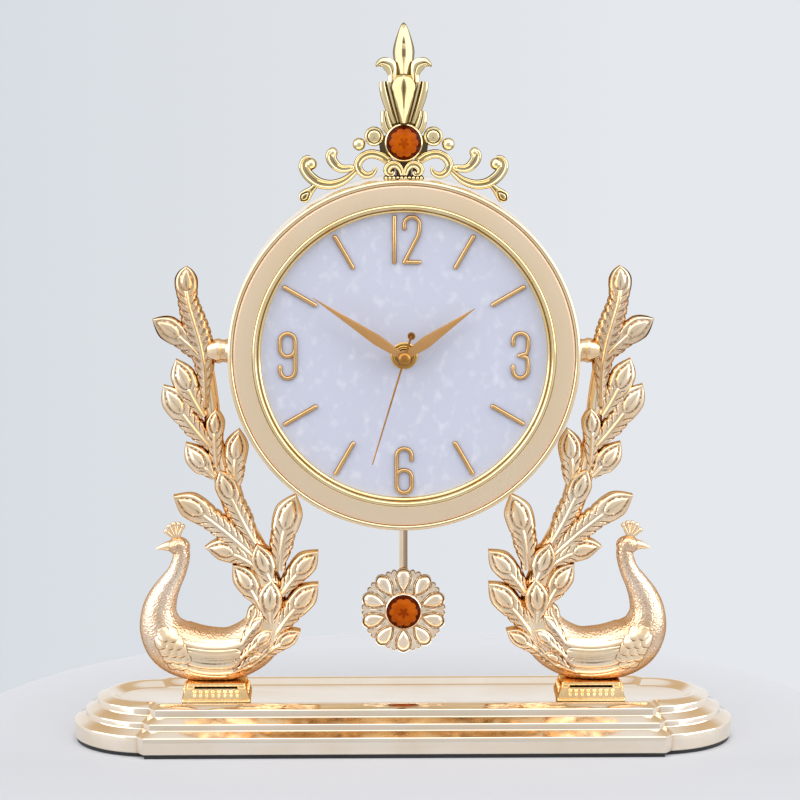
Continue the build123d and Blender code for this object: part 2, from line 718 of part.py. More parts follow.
with BuildPart() as numerals:
    with BuildSketch(facing(dial_y, -ONE_OFFSET, CASE_Z + numeral_circle)):
        figure_one()
    with BuildSketch(facing(dial_y, TWO_OFFSET, CASE_Z + numeral_circle)):
        figure_two()
    with BuildSketch(facing(dial_y, numeral_circle, CASE_Z)):
        figure_three()
    with BuildSketch(facing(dial_y, 0, CASE_Z - numeral_circle)):
        figure_loop(1)
    with BuildSketch(facing(dial_y, -numeral_circle, CASE_Z)):
        figure_loop(-1)
    extrude(amount=MARK_THICKNESS)
numerals.part.label = "numerals"
export_step(numerals.part, "parts/numerals.step")

# Back cover with a window onto the movement
window_width = MOVEMENT_WIDTH + 2 * COVER_WINDOW_MARGIN
window_height = MOVEMENT_ABOVE + MOVEMENT_BELOW + 2 * COVER_WINDOW_MARGIN
movement_mid = (MOVEMENT_ABOVE - MOVEMENT_BELOW) / 2
with BuildPart() as back_cover:
    with BuildSketch(facing(CASE_BACK)):
        Circle(case_bore - COVER_GAP)
        with Locations((0, movement_mid)):
            RectangleRounded(window_width, window_height, COVER_WINDOW_MARGIN, mode=Mode.SUBTRACT)
        with PolarLocations(cover_screw_circle, 4, start_angle=45):
            Circle(screw_hole, mode=Mode.SUBTRACT)
    extrude(amount=COVER_THICKNESS)
    with BuildSketch(facing(CASE_BACK)):
        with PolarLocations(cover_screw_circle, 4, start_angle=45):
            Circle(HEAD_RADIUS + SCREW_GAP)
    extrude(amount=HEAD_POCKET, mode=Mode.SUBTRACT)
back_cover.part.label = "back_cover"
export_step(back_cover.part, "parts/back_cover.step")

back_cover_screws = pan_screws(
    [
        facing(CASE_BACK - HEAD_POCKET, cover_screw_circle * cos(a), CASE_Z + cover_screw_circle * sin(a))
        for a in diagonals
    ],
    COVER_THICKNESS - HEAD_POCKET + SCREW_BITE - SCREW_GAP,
)
back_cover_screws.part.label = "back_cover_screws"
export_step(back_cover_screws.part, "parts/back_cover_screws.step")

# Crest: finial plate, bulb, gem setting, balls, scrolls and a foot hollowed to the drum.
# Points are x and z from the top of the drum.
HALF_FINIAL = (
    ((0, 74.6), (4.2, 65.5), (5.2, 60.0)),
    ((5.2, 60.0), (4.2, 57.8), (3.8, 55.4)),
    ((3.8, 55.4), (8.5, 57.8), (13.0, 53.6)),
    ((13.0, 53.6), (8.8, 52.6), (6.4, 46.6)),
)
FINIAL_SIDE = ((6.4, 46.6), (11.9, 45.8), (8.1, 33.0), (10.9, 32.2), (8.6, 23.0), (0, 23.0))
BULB_RADIUS = 5.6
BULB_TOP = 51.0
BULB_WIDEST = 45.0
BULB_FOOT = 25.0
BULB_SHOULDER = (4.5, 48.6)
BULB_TIP = 1.2
VOLUTE_AT = (13.7, 19.2)
VOLUTE_RADIUS = 5.2
BALL_AT = (21.4, 15.8)
BALL_RADIUS = 3.2
DROP_AT = (47.3, -9.2)
DROP_RADIUS = 2.7
DROP_ROOT = (41.0, -2.8)
DROP_STEM = 1.5
# Scrolls: start x and z, heading in degrees, tube radius, then the radius and turn of each bend
SCROLLS = (
    (5.4, 7.4, 64.0, 1.9, ((11.5, -85.0), (6.5, -152.0), (3.2, -96.0))),
    (22.9, 3.5, -41.0, 1.75, ((33.4, 24.0), (10.4, 126.0), (2.6, 170.0))),
    (24.0, 7.0, -44.0, 1.6, ((6.2, 96.0), (6.4, 69.0))),
)


def scroll_arcs(x, z, heading, bends):
    """Start, middle and end of each arc of a scroll, every arc tangent to the last."""
    arcs = []
    for radius, turn in bends:
        points = [(x, z)]
        for share in (0.5, 1.0):
            chord = 2 * radius * sin(radians(abs(turn) * share / 2))
            course = radians(heading + turn * share / 2)
            points.append((x + chord * cos(course), z + chord * sin(course)))
        x, z = points[-1]
        heading += turn
        arcs.append(points)
    return arcs


crest_plane = facing(CREST_Y, 0, case_top)
with BuildPart() as crest:
    with BuildSketch(crest_plane):
        with BuildLine():
            for arc in HALF_FINIAL:
                ThreePointArc(*arc)
            Polyline(*FINIAL_SIDE)
            Line(FINIAL_SIDE[-1], HALF_FINIAL[0][0])
        make_face()
        with Locations((CREST_NECK / 2, CREST_GEM_Z / 2)):
            Rectangle(CREST_NECK, CREST_GEM_Z)
        with Locations(VOLUTE_AT):
            Circle(VOLUTE_RADIUS)
    extrude(amount=CREST_THICKNESS / 2, both=True)
    with Locations((BALL_AT[0], CREST_Y, case_top + BALL_AT[1])):
        Sphere(BALL_RADIUS)
    with Locations((DROP_AT[0], CREST_Y, case_top + DROP_AT[1])):
        Sphere(DROP_RADIUS)
    with BuildLine(crest_plane) as stem:
        Line(DROP_ROOT, DROP_AT)
    with BuildSketch(Plane(stem.line @ 0, z_dir=stem.line % 0)):
        Circle(DROP_STEM)
    sweep(path=stem.line)
    for x, z, heading, tube, bends in SCROLLS:
        with BuildLine(crest_plane) as scroll:
            for arc in scroll_arcs(x, z, heading, bends):
                ThreePointArc(*arc)
        with BuildSketch(Plane(scroll.line @ 0, z_dir=scroll.line % 0)):
            Circle(tube)
        sweep(path=scroll.line)
        with Locations(scroll.line @ 1):
            Sphere(tube + SCROLL_KNOB)
    mirror(about=Plane.YZ)
    with BuildSketch(crest_plane):
        with BuildLine():
            ThreePointArc((0, BULB_TOP), BULB_SHOULDER, (BULB_RADIUS, BULB_WIDEST))
            Polyline((BULB_RADIUS, BULB_WIDEST), (BULB_TIP, BULB_FOOT), (0, BULB_FOOT), (0, BULB_TOP))
        make_face()
    revolve(axis=Axis((0, CREST_Y, 0), (0, 0, 1)))
    with BuildSketch(facing(CREST_Y + CREST_THICKNESS / 2, 0, case_top + CREST_GEM_Z)):
        Circle(SETTING_RADIUS)
    extrude(amount=CREST_THICKNESS + SETTING_RISE)
    with BuildSketch(Plane.XY.offset(case_top - CREST_FOOT_RISE)):
        with Locations((0, CREST_Y)):
            Rectangle(CREST_FOOT_WIDTH, CREST_FOOT_DEPTH)
    extrude(amount=2 * CREST_FOOT_RISE)
    with BuildSketch(facing(0)):
        Circle(CASE_RADIUS + SEAT_GAP)
    extrude(amount=-2 * CREST_Y + 2 * CREST_FOOT_DEPTH, both=True, mode=Mode.SUBTRACT)
    with BuildSketch(facing(CREST_Y - CREST_THICKNESS / 2 - SETTING_RISE, 0, case_top + CREST_GEM_Z)):
        Circle(GEM_RADIUS + GEM_GAP)
    extrude(amount=-SETTING_POCKET, mode=Mode.SUBTRACT)
    with BuildSketch(Plane.XY.offset(CASE_Z)):
        with Locations((-CREST_SCREW_X, CREST_Y), (CREST_SCREW_X, CREST_Y)):
            Circle(screw_hole)
    extrude(amount=crest_seat + CASE_WALL + SCREW_BITE, mode=Mode.SUBTRACT)
crest.part.label = "crest"
export_step(crest.part, "parts/crest.step")

crest_screws = pan_screws(
    [
        Plane(origin=(x, CREST_Y, CASE_Z + crest_seat), z_dir=(0, 0, 1))
        for x in (-CREST_SCREW_X, CREST_SCREW_X)
    ],
    CASE_WALL + SCREW_BITE - SCREW_GAP,
)
crest_screws.part.label = "crest_screws"
export_step(crest_screws.part, "parts/crest_screws.step")


def gem(seat_y, z):
    """Faceted stone on a plane: straight girdle below a tapered crown."""
    with BuildPart() as stone:
        with BuildSketch(facing(seat_y, 0, z)):
            RegularPolygon(GEM_RADIUS, GEM_SIDES)
        extrude(amount=GEM_GIRDLE + SETTING_POCKET)
        with BuildSketch(facing(seat_y - GEM_GIRDLE - SETTING_POCKET, 0, z)):
            RegularPolygon(GEM_RADIUS, GEM_SIDES)
        with BuildSketch(facing(seat_y - GEM_GIRDLE - SETTING_POCKET - GEM_CROWN, 0, z)):
            RegularPolygon(GEM_TABLE, GEM_SIDES)
        loft(ruled=True)
    return stone


crest_gem = gem(CREST_Y - CREST_THICKNESS / 2 - SETTING_RISE + SETTING_POCKET, case_top + CREST_GEM_Z)
crest_gem.part.label = "crest_gem"
export_step(crest_gem.part, "parts/crest_gem.step")

# Movement shells
shell_low = CASE_Z - MOVEMENT_BELOW
shell_mid = CASE_Z + movement_mid
shell_height = MOVEMENT_ABOVE + MOVEMENT_BELOW
washer_y = dial_y - WASHER_THICKNESS
nut_y = washer_y - NUT_THICKNESS
bush_front = nut_y - BUSH_PROUD
hour_bore = HOUR_TUBE_RADIUS + RUN_GAP
minute_bore = MINUTE_TUBE_RADIUS + RUN_GAP
second_bore = SECOND_ARBOR_RADIUS + RUN_GAP
pivot_bore = PIVOT_RADIUS + RUN_GAP
stud_bore = ARBOR_RADIUS + RUN_GAP


def polar(radius, angle):
    """Point at a radius and angle about the hands, seen from the front."""
    return (radius * cos(radians(angle)), radius * sin(radians(angle)))


third_at = polar(THIRD_CENTRES, THIRD_ANGLE)
fifth_at = polar(FIFTH_CENTRES, FIFTH_ANGLE)
rotor_at = tuple(a + b for a, b in zip(fifth_at, polar(ROTOR_CENTRES, ROTOR_ANGLE)))
minute_wheel_at = polar(MOTION_CENTRES, MOTION_ANGLE)
knob_at = polar(2 * MOTION_CENTRES, MOTION_ANGLE)
drive_coil_z = CASE_Z - MOVEMENT_BELOW + MAGNET_ABOVE

with BuildPart() as movement_front:
    with BuildSketch(facing(room_y, 0, shell_mid)):
        Rectangle(MOVEMENT_WIDTH, shell_height)
    extrude(amount=SHELL_FRONT)
    with BuildSketch(facing(shell_y)):
        Circle(BUSH_RADIUS)
    extrude(amount=shell_y - bush_front)
    with BuildSketch(facing(room_y)):
        Circle(hour_bore)
    extrude(amount=room_y - bush_front, mode=Mode.SUBTRACT)
    with BuildSketch(facing(room_y)):
        with Locations(third_at, fifth_at, rotor_at):
            Circle(pivot_bore)
        with Locations(knob_at):
            Circle(KNOB_ARBOR_RADIUS + RUN_GAP)
    extrude(amount=SHELL_FRONT, mode=Mode.SUBTRACT)
    with BuildSketch(facing(room_y)):
        with Locations(minute_wheel_at):
            Circle(ARBOR_RADIUS)
    extrude(amount=-(MINUTE_LAYER + WHEEL_THICKNESS + PINION_SPARE))
movement_front.part.label = "movement_front"
export_step(movement_front.part, "parts/movement_front.step")

cell_bay_length = CELL_LENGTH + 2 * (CONTACT_THICKNESS + CELL_GAP)
cell_mid = CELL_TOP - CELL_LENGTH / 2
bay_right = MOVEMENT_WIDTH / 2 - SHELL_WALL
with BuildPart() as movement_rear:
    with BuildSketch(facing(movement_back, 0, shell_mid)):
        Rectangle(MOVEMENT_WIDTH, shell_height)
    extrude(amount=SHELL_WALL + MOVEMENT_ROOM)
    with BuildSketch(facing(room_back, 0, shell_mid)):
        Rectangle(MOVEMENT_WIDTH - 2 * SHELL_WALL, shell_height - 2 * SHELL_WALL)
    extrude(amount=MOVEMENT_ROOM, mode=Mode.SUBTRACT)
    with BuildSketch(facing(room_back)):
        with Locations(((PARTITION_X + bay_right) / 2 + SHELL_WALL / 4, cell_mid)):
            Rectangle(bay_right - PARTITION_X + SHELL_WALL / 2, cell_bay_length + 2 * SHELL_WALL)
    extrude(amount=MOVEMENT_ROOM)
    with BuildSketch(facing(movement_back)):
        with Locations(((PARTITION_X + SHELL_WALL + bay_right) / 2, cell_mid)):
            Rectangle(bay_right - PARTITION_X - SHELL_WALL, cell_bay_length)
    extrude(amount=SHELL_WALL + MOVEMENT_ROOM, mode=Mode.SUBTRACT)
    with BuildSketch(facing(movement_back)):
        with Locations(third_at, fifth_at, rotor_at, (0, 0)):
            Circle(pivot_bore)
        with Locations(knob_at):
            Circle(KNOB_ARBOR_RADIUS + RUN_GAP)
        with Locations((0, PIVOT_HEIGHT)):
            Circle(PIVOT_PIN_RADIUS + SCREW_GAP)
    extrude(amount=SHELL_WALL, mode=Mode.SUBTRACT)
movement_rear.part.label = "movement_rear"
export_step(movement_rear.part, "parts/movement_rear.step")

# Cushion washer behind the dial, plain washer and nut in front of it
with BuildPart() as cushion_washer:
    with BuildSketch(facing(shell_y)):
        Circle(CUSHION_RADIUS)
        Circle(BUSH_RADIUS + SCREW_GAP, mode=Mode.SUBTRACT)
    extrude(amount=CUSHION_THICKNESS)
cushion_washer.part.label = "cushion_washer"
export_step(cushion_washer.part, "parts/cushion_washer.step")

with BuildPart() as dial_washer:
    with BuildSketch(facing(dial_y)):
        Circle(WASHER_RADIUS)
        Circle(BUSH_RADIUS + SCREW_GAP, mode=Mode.SUBTRACT)
    extrude(amount=WASHER_THICKNESS)
dial_washer.part.label = "dial_washer"
export_step(dial_washer.part, "parts/dial_washer.step")

with BuildPart() as dial_nut:
    with BuildSketch(facing(washer_y)):
        RegularPolygon(NUT_RADIUS, 6)
        Circle(BUSH_RADIUS + SCREW_GAP, mode=Mode.SUBTRACT)
    extrude(amount=NUT_THICKNESS)
dial_nut.part.label = "dial_nut"
export_step(dial_nut.part, "parts/dial_nut.step")


def module(centres, teeth, mate):
    """Tooth size of a pair from its centre distance and tooth counts."""
    return 2 * centres / (teeth + mate)


def meshed(phase, teeth, angle, mate):
    """Phase of a wheel that meshes with one of known phase, lying at an angle from it."""
    return angle + 180 - (phase - angle) * teeth / mate - 180 / mate


def toothed(teeth, size, phase, bore):
    """Straight-flanked wheel outline with a round bore, one tooth pointing along the phase."""
    pitch = teeth * size / 2
    points = []
    for i in range(teeth):
        middle = radians(phase + 360 * i / teeth)
        for reach, flank in ((-DEDENDUM, -1), (ADDENDUM, -1), (ADDENDUM, 1), (-DEDENDUM, 1)):
            radius = pitch + reach * size
            half = pi * size / 4 * (1 - TOOTH_SLACK) - reach * size * tan(radians(TOOTH_SLOPE))
            angle = middle + flank * asin(half / radius)
            points.append((radius * cos(angle), radius * sin(angle)))
    with BuildSketch(mode=Mode.PRIVATE) as outline:
        with BuildLine():
            Polyline(*points, close=True)
        make_face()
        if bore:
            Circle(bore, mode=Mode.SUBTRACT)
    return outline.sketch_local


def at_layer(depth, place=(0, 0)):
    """Plane behind the front shell at a depth in the movement, centred on one arbor."""
    return facing(room_y + depth, place[0], CASE_Z + place[1])


def wheel_at(layer, place, teeth, size, phase, bore=0.0, spare=0.0):
    """Toothed disc in one layer, longer by a spare at both faces where it is a pinion."""
    with BuildSketch(at_layer(layer + WHEEL_THICKNESS + spare, place), mode=Mode.PRIVATE) as disc:
        add(toothed(teeth, size, phase, bore))
    extrude(disc.sketch, amount=WHEEL_THICKNESS + 2 * spare)


def shaft_at(start, end, place, radius, bore=0.0):
    """Round arbor or tube between two depths."""
    with BuildSketch(at_layer(end, place), mode=Mode.PRIVATE) as disc:
        Circle(radius)
        if bore:
            Circle(bore, mode=Mode.SUBTRACT)
    extrude(disc.sketch, amount=end - start)


cannon_size = module(MOTION_CENTRES, PINION_TEETH, MINUTE_WHEEL_TEETH)
hour_size = module(MOTION_CENTRES, MINUTE_PINION_TEETH, HOUR_WHEEL_TEETH)
centre_size = module(THIRD_CENTRES, PINION_TEETH, CENTRE_WHEEL_TEETH)
third_size = module(THIRD_CENTRES, PINION_TEETH, THIRD_WHEEL_TEETH)
second_size = module(FIFTH_CENTRES, PINION_TEETH, SECOND_WHEEL_TEETH)
fifth_size = module(ROTOR_CENTRES, PINION_TEETH, FIFTH_WHEEL_TEETH)
pivot_front = -SHELL_FRONT + PIVOT_END
pivot_back = MOVEMENT_ROOM + SHELL_WALL - PIVOT_END
hour_front = dial_y - HOUR_LIFT - room_y
minute_front = dial_y - MINUTE_LIFT - room_y
second_front = dial_y - SECOND_LIFT - room_y

# Hour wheel on its tube
toward_hour = MOTION_ANGLE + 180
hour_phase = meshed(toward_hour, MINUTE_PINION_TEETH, toward_hour, HOUR_WHEEL_TEETH)
with BuildPart() as hour_wheel:
    wheel_at(HOUR_LAYER, (0, 0), HOUR_WHEEL_TEETH, hour_size, hour_phase, minute_bore)
    shaft_at(hour_front, HOUR_LAYER, (0, 0), HOUR_TUBE_RADIUS, minute_bore)
hour_wheel.part.label = "hour_wheel"
export_step(hour_wheel.part, "parts/hour_wheel.step")

# Minute wheel and its pinion, turning on a stud of the front shell
minute_phase = meshed(MOTION_ANGLE, PINION_TEETH, MOTION_ANGLE, MINUTE_WHEEL_TEETH)
with BuildPart() as minute_wheel:
    wheel_at(
        HOUR_LAYER, minute_wheel_at, MINUTE_PINION_TEETH, hour_size, toward_hour, stud_bore, PINION_SPARE
    )
    shaft_at(HOUR_LAYER, MINUTE_LAYER, minute_wheel_at, MINUTE_HUB, stud_bore)
    wheel_at(MINUTE_LAYER, minute_wheel_at, MINUTE_WHEEL_TEETH, cannon_size, minute_phase, stud_bore)
minute_wheel.part.label = "minute_wheel"
export_step(minute_wheel.part, "parts/minute_wheel.step")

# Minute arbor: tube with the pinion that drives the minute wheel
with BuildPart() as minute_arbor:
    minute_end = CENTRE_LAYER + WHEEL_THICKNESS + PINION_SPARE
    shaft_at(minute_front, minute_end, (0, 0), MINUTE_TUBE_RADIUS, second_bore)
    wheel_at(MINUTE_LAYER, (0, 0), PINION_TEETH, cannon_size, MOTION_ANGLE, second_bore, PINION_SPARE)
minute_arbor.part.label = "minute_arbor"
export_step(minute_arbor.part, "parts/minute_arbor.step")

# Centre wheel, turning the minute arbor through a slipping clutch
with BuildPart() as centre_wheel:
    wheel_at(CENTRE_LAYER, (0, 0), CENTRE_WHEEL_TEETH, centre_size, THIRD_ANGLE, minute_bore)
centre_wheel.part.label = "centre_wheel"
export_step(centre_wheel.part, "parts/centre_wheel.step")

# Third wheel and pinion
third_pinion_phase = meshed(THIRD_ANGLE, CENTRE_WHEEL_TEETH, THIRD_ANGLE, PINION_TEETH)
with BuildPart() as third_wheel:
    shaft_at(pivot_front, pivot_back, third_at, PIVOT_RADIUS)
    shaft_at(PIVOT_END, MOVEMENT_ROOM - PIVOT_END, third_at, ARBOR_RADIUS)
    wheel_at(CENTRE_LAYER, third_at, PINION_TEETH, centre_size, third_pinion_phase, 0, PINION_SPARE)
    wheel_at(THIRD_LAYER, third_at, THIRD_WHEEL_TEETH, third_size, THIRD_ANGLE + 180)
third_wheel.part.label = "third_wheel"
export_step(third_wheel.part, "parts/third_wheel.step")

# Second wheel on the arbor that carries the second hand
toward_second = THIRD_ANGLE + 180
second_pinion_phase = meshed(toward_second, THIRD_WHEEL_TEETH, toward_second, PINION_TEETH)
with BuildPart() as second_wheel:
    shaft_at(second_front, MOVEMENT_ROOM - PIVOT_END, (0, 0), SECOND_ARBOR_RADIUS)
    shaft_at(SECOND_LAYER, pivot_back, (0, 0), PIVOT_RADIUS)
    wheel_at(THIRD_LAYER, (0, 0), PINION_TEETH, third_size, second_pinion_phase, 0, PINION_SPARE)
    wheel_at(SECOND_LAYER, (0, 0), SECOND_WHEEL_TEETH, second_size, FIFTH_ANGLE)
second_wheel.part.label = "second_wheel"
export_step(second_wheel.part, "parts/second_wheel.step")

# Intermediate wheel between the second wheel and the rotor
fifth_pinion_phase = meshed(FIFTH_ANGLE, SECOND_WHEEL_TEETH, FIFTH_ANGLE, PINION_TEETH)
with BuildPart() as intermediate_wheel:
    shaft_at(pivot_front, pivot_back, fifth_at, PIVOT_RADIUS)
    shaft_at(PIVOT_END, MOVEMENT_ROOM - PIVOT_END, fifth_at, ARBOR_RADIUS)
    wheel_at(SECOND_LAYER, fifth_at, PINION_TEETH, second_size, fifth_pinion_phase, 0, PINION_SPARE)
    wheel_at(FIFTH_LAYER, fifth_at, FIFTH_WHEEL_TEETH, fifth_size, ROTOR_ANGLE)
intermediate_wheel.part.label = "intermediate_wheel"
export_step(intermediate_wheel.part, "parts/intermediate_wheel.step")

# Rotor: magnet and pinion
rotor_phase = meshed(ROTOR_ANGLE, FIFTH_WHEEL_TEETH, ROTOR_ANGLE, PINION_TEETH)
with BuildPart() as rotor:
    shaft_at(pivot_front, pivot_back, rotor_at, PIVOT_RADIUS)
    shaft_at(PIVOT_END, MOVEMENT_ROOM - PIVOT_END, rotor_at, ARBOR_RADIUS)
    wheel_at(FIFTH_LAYER, rotor_at, PINION_TEETH, fifth_size, rotor_phase, 0, PINION_SPARE)
    shaft_at(ROTOR_LAYER, ROTOR_LAYER + ROTOR_THICKNESS, rotor_at, ROTOR_RADIUS)
rotor.part.label = "rotor"
export_step(rotor.part, "parts/rotor.step")

# Setting knob on its arbor, with the pinion that turns the minute wheel
knob_phase = meshed(minute_phase, MINUTE_WHEEL_TEETH, MOTION_ANGLE, PINION_TEETH)
knob_start = MOVEMENT_ROOM + SHELL_WALL + HANGER_CLEARANCE
with BuildPart() as setting_knob:
    shaft_at(pivot_front, knob_start, knob_at, KNOB_ARBOR_RADIUS)
    wheel_at(MINUTE_LAYER, knob_at, PINION_TEETH, cannon_size, knob_phase, 0, PINION_SPARE)
    shaft_at(knob_start, knob_start + KNOB_THICKNESS, knob_at, KNOB_RADIUS)
setting_knob.part.label = "setting_knob"
export_step(setting_knob.part, "parts/setting_knob.step")

# Stator plate round the rotor, its leg running sideways through the stepper coil
stator_depth = ROTOR_LAYER + (ROTOR_THICKNESS + STATOR_THICKNESS) / 2
leg_length = COIL_REACH + COIL_LENGTH / 2 + COIL_TAIL
with BuildPart() as stator:
    with BuildSketch(at_layer(stator_depth, rotor_at)):
        Circle(STATOR_RADIUS)
        with Locations((-leg_length / 2, 0)):
            Rectangle(leg_length, STATOR_LEG)
        Circle(STATOR_BORE, mode=Mode.SUBTRACT)
    extrude(amount=STATOR_THICKNESS)
stator.part.label = "stator"
export_step(stator.part, "parts/stator.step")

coil_end = rotor_at[0] - COIL_REACH + COIL_LENGTH / 2
with BuildPart() as stepper_coil:
    coil_foot = (coil_end, room_y + stator_depth - STATOR_THICKNESS / 2, CASE_Z + rotor_at[1])
    with BuildSketch(Plane(origin=coil_foot, x_dir=(0, 1, 0), z_dir=(-1, 0, 0))):
        RectangleRounded(COIL_THICKNESS, COIL_WIDTH, COIL_THICKNESS / 3)
        Rectangle(STATOR_THICKNESS + 2 * SCREW_GAP, STATOR_LEG + 2 * SCREW_GAP, mode=Mode.SUBTRACT)
    extrude(amount=COIL_LENGTH)
stepper_coil.part.label = "stepper_coil"
export_step(stepper_coil.part, "parts/stepper_coil.step")

# Circuit board on the floor of the front shell, and the coil that drives the pendulum
board_z = shell_low + SHELL_WALL + BOARD_HEIGHT / 2
with BuildPart() as circuit_board:
    with BuildSketch(facing(room_y + BOARD_THICKNESS, 0, board_z)):
        with Locations((SHELL_WALL - MOVEMENT_WIDTH / 2 + BOARD_WIDTH / 2, 0)):
            Rectangle(BOARD_WIDTH, BOARD_HEIGHT)
    extrude(amount=BOARD_THICKNESS)
circuit_board.part.label = "circuit_board"
export_step(circuit_board.part, "parts/circuit_board.step")

with BuildPart() as drive_coil:
    with BuildSketch(facing(room_back, 0, drive_coil_z)):
        Circle(DRIVE_COIL_RADIUS)
        Circle(PIVOT_PIN_RADIUS, mode=Mode.SUBTRACT)
    extrude(amount=DRIVE_COIL_THICKNESS)
drive_coil.part.label = "drive_coil"
export_step(drive_coil.part, "parts/drive_coil.step")

# Cell and its two contacts
cell_low = CASE_Z + CELL_TOP - CELL_LENGTH
cell_y = room_y + CELL_RADIUS + CELL_GAP
cell_x = (PARTITION_X + SHELL_WALL + bay_right) / 2
with BuildPart() as battery:
    with BuildSketch(Plane.XY.offset(cell_low)):
        with Locations((cell_x, cell_y)):
            Circle(CELL_RADIUS)
    extrude(amount=CELL_LENGTH - NIPPLE_HEIGHT)
    with BuildSketch(Plane.XY.offset(cell_low + CELL_LENGTH - NIPPLE_HEIGHT)):
        with Locations((cell_x, cell_y)):
            Circle(NIPPLE_RADIUS)
    extrude(amount=NIPPLE_HEIGHT)
battery.part.label = "battery"
export_step(battery.part, "parts/battery.step")

for name, low in (
    ("positive_contact", cell_low + CELL_LENGTH + CELL_GAP),
    ("negative_contact", cell_low - CELL_GAP - CONTACT_THICKNESS),
):
    with BuildPart() as contact:
        with BuildSketch(Plane.XY.offset(low)):
            with Locations((cell_x, cell_y)):
                Rectangle(CONTACT_WIDTH, CONTACT_WIDTH)
        extrude(amount=CONTACT_THICKNESS)
    contact.part.label = name
    export_step(contact.part, f"parts/{name}.step")


def lance(length, width, root):
    """Hand blade along the plane's y axis: narrow at the hub, widest a third out, pointed at the tip."""
    with BuildSketch(mode=Mode.PRIVATE) as blade:
        with BuildLine():
            for edge in (-1, 1):
                widest = (edge * width / 2, length * 0.3)
                ThreePointArc((edge * root, 0), (edge * (root + width / 2) / 2, length * 0.17), widest)
                ThreePointArc(widest, (edge * width * 0.34, length * 0.62), (0, length))
            Line((-root, 0), (root, 0))
        make_face()
    return blade.sketch_local


def hand_plane(lift, turns):
    """Plane of a hand at its height over the dial, turned clockwise to the time shown."""
    angle = 2 * pi * turns
    across = (cos(angle), 0, -sin(angle))
    return Plane(origin=(0, dial_y - lift + HAND_THICKNESS, CASE_Z), x_dir=across, z_dir=(0, -1, 0))


# Hour hand on the hour tube
with BuildPart() as hour_hand:
    with BuildSketch(hand_plane(HOUR_LIFT, SHOWN_MINUTES / 720)):
        add(lance(HOUR_LENGTH, HOUR_WIDTH, HAND_ROOT))
        Circle(HOUR_HUB_RADIUS)
        Circle(HOUR_TUBE_RADIUS + SCREW_GAP, mode=Mode.SUBTRACT)
    extrude(amount=HAND_THICKNESS)
hour_hand.part.label = "hour_hand"
export_step(hour_hand.part, "parts/hour_hand.step")

# Minute hand on the minute arbor
with BuildPart() as minute_hand:
    with BuildSketch(hand_plane(MINUTE_LIFT, SHOWN_MINUTES / 60)):
        add(lance(MINUTE_LENGTH, MINUTE_WIDTH, HAND_ROOT))
        Circle(MINUTE_HUB_RADIUS)
        Circle(MINUTE_TUBE_RADIUS + SCREW_GAP, mode=Mode.SUBTRACT)
    extrude(amount=HAND_THICKNESS)
minute_hand.part.label = "minute_hand"
export_step(minute_hand.part, "parts/minute_hand.step")

# Second hand: needle, tail ball and the cap over its arbor
with BuildPart() as second_hand:
    with BuildSketch(hand_plane(SECOND_LIFT, SHOWN_SECONDS / 60)):
        with Locations((0, (SECOND_LENGTH - SECOND_TAIL) / 2)):
            Rectangle(SECOND_WIDTH, SECOND_LENGTH + SECOND_TAIL)
        with Locations((0, -SECOND_TAIL)):
            Circle(TAIL_BALL_RADIUS)
        Circle(CAP_RADIUS)
        Circle(SECOND_ARBOR_RADIUS + SCREW_GAP, mode=Mode.SUBTRACT)
    extrude(amount=HAND_THICKNESS)
    with BuildSketch(facing(dial_y - SECOND_LIFT)):
        Circle(CAP_RADIUS)
    extrude(amount=CAP_HEIGHT)
second_hand.part.label = "second_hand"
export_step(second_hand.part, "parts/second_hand.step")

# Pendulum pivot pin, pressed into the rear shell
with BuildPart() as pivot_pin:
    with BuildSketch(facing(rod_y + RUN_GAP, 0, pivot_z)):
        Circle(PIVOT_PIN_RADIUS)
    extrude(amount=rod_y + RUN_GAP - room_back)
    with BuildSketch(facing(rod_y + RUN_GAP + PIVOT_HEAD_THICKNESS, 0, pivot_z)):
        Circle(PIVOT_HEAD_RADIUS)
    extrude(amount=PIVOT_HEAD_THICKNESS)
pivot_pin.part.label = "pivot_pin"
export_step(pivot_pin.part, "parts/pivot_pin.step")

# Hanger: eye, arm, magnet pocket and two pegs that carry the rod
hanger_low = shell_low - HANGER_BELOW
pocket_radius = MAGNET_RADIUS + SCREW_GAP
peg_places = [(0, hanger_low + HANGER_WIDTH / 2 + k * PEG_SPACING) for k in (0, 1)]
with BuildPart() as pendulum_hanger:
    with BuildSketch(facing(rod_y, 0, 0)):
        with Locations((0, (pivot_z + hanger_low + HANGER_WIDTH / 2) / 2)):
            Rectangle(HANGER_WIDTH, pivot_z - hanger_low - HANGER_WIDTH / 2)
        with Locations((0, pivot_z), (0, hanger_low + HANGER_WIDTH / 2)):
            Circle(HANGER_WIDTH / 2)
        with Locations((0, drive_coil_z)):
            Circle(MAGNET_RADIUS + MAGNET_RIM)
        with Locations((0, pivot_z)):
            Circle(PIVOT_PIN_RADIUS + RUN_GAP, mode=Mode.SUBTRACT)
    extrude(amount=HANGER_THICKNESS)
    with BuildSketch(facing(hanger_y, 0, drive_coil_z)):
        Circle(pocket_radius)
    extrude(amount=-MAGNET_THICKNESS, mode=Mode.SUBTRACT)
    with BuildSketch(facing(rod_back, 0, 0)):
        with Locations(*peg_places):
            Circle(PEG_RADIUS)
    extrude(amount=ROD_THICKNESS + HANGER_THICKNESS / 2)
pendulum_hanger.part.label = "pendulum_hanger"
export_step(pendulum_hanger.part, "parts/pendulum_hanger.step")

with BuildPart() as drive_magnet:
    with BuildSketch(facing(hanger_y + MAGNET_THICKNESS, 0, drive_coil_z)):
        Circle(MAGNET_RADIUS)
    extrude(amount=MAGNET_THICKNESS)
drive_magnet.part.label = "drive_magnet"
export_step(drive_magnet.part, "parts/drive_magnet.step")

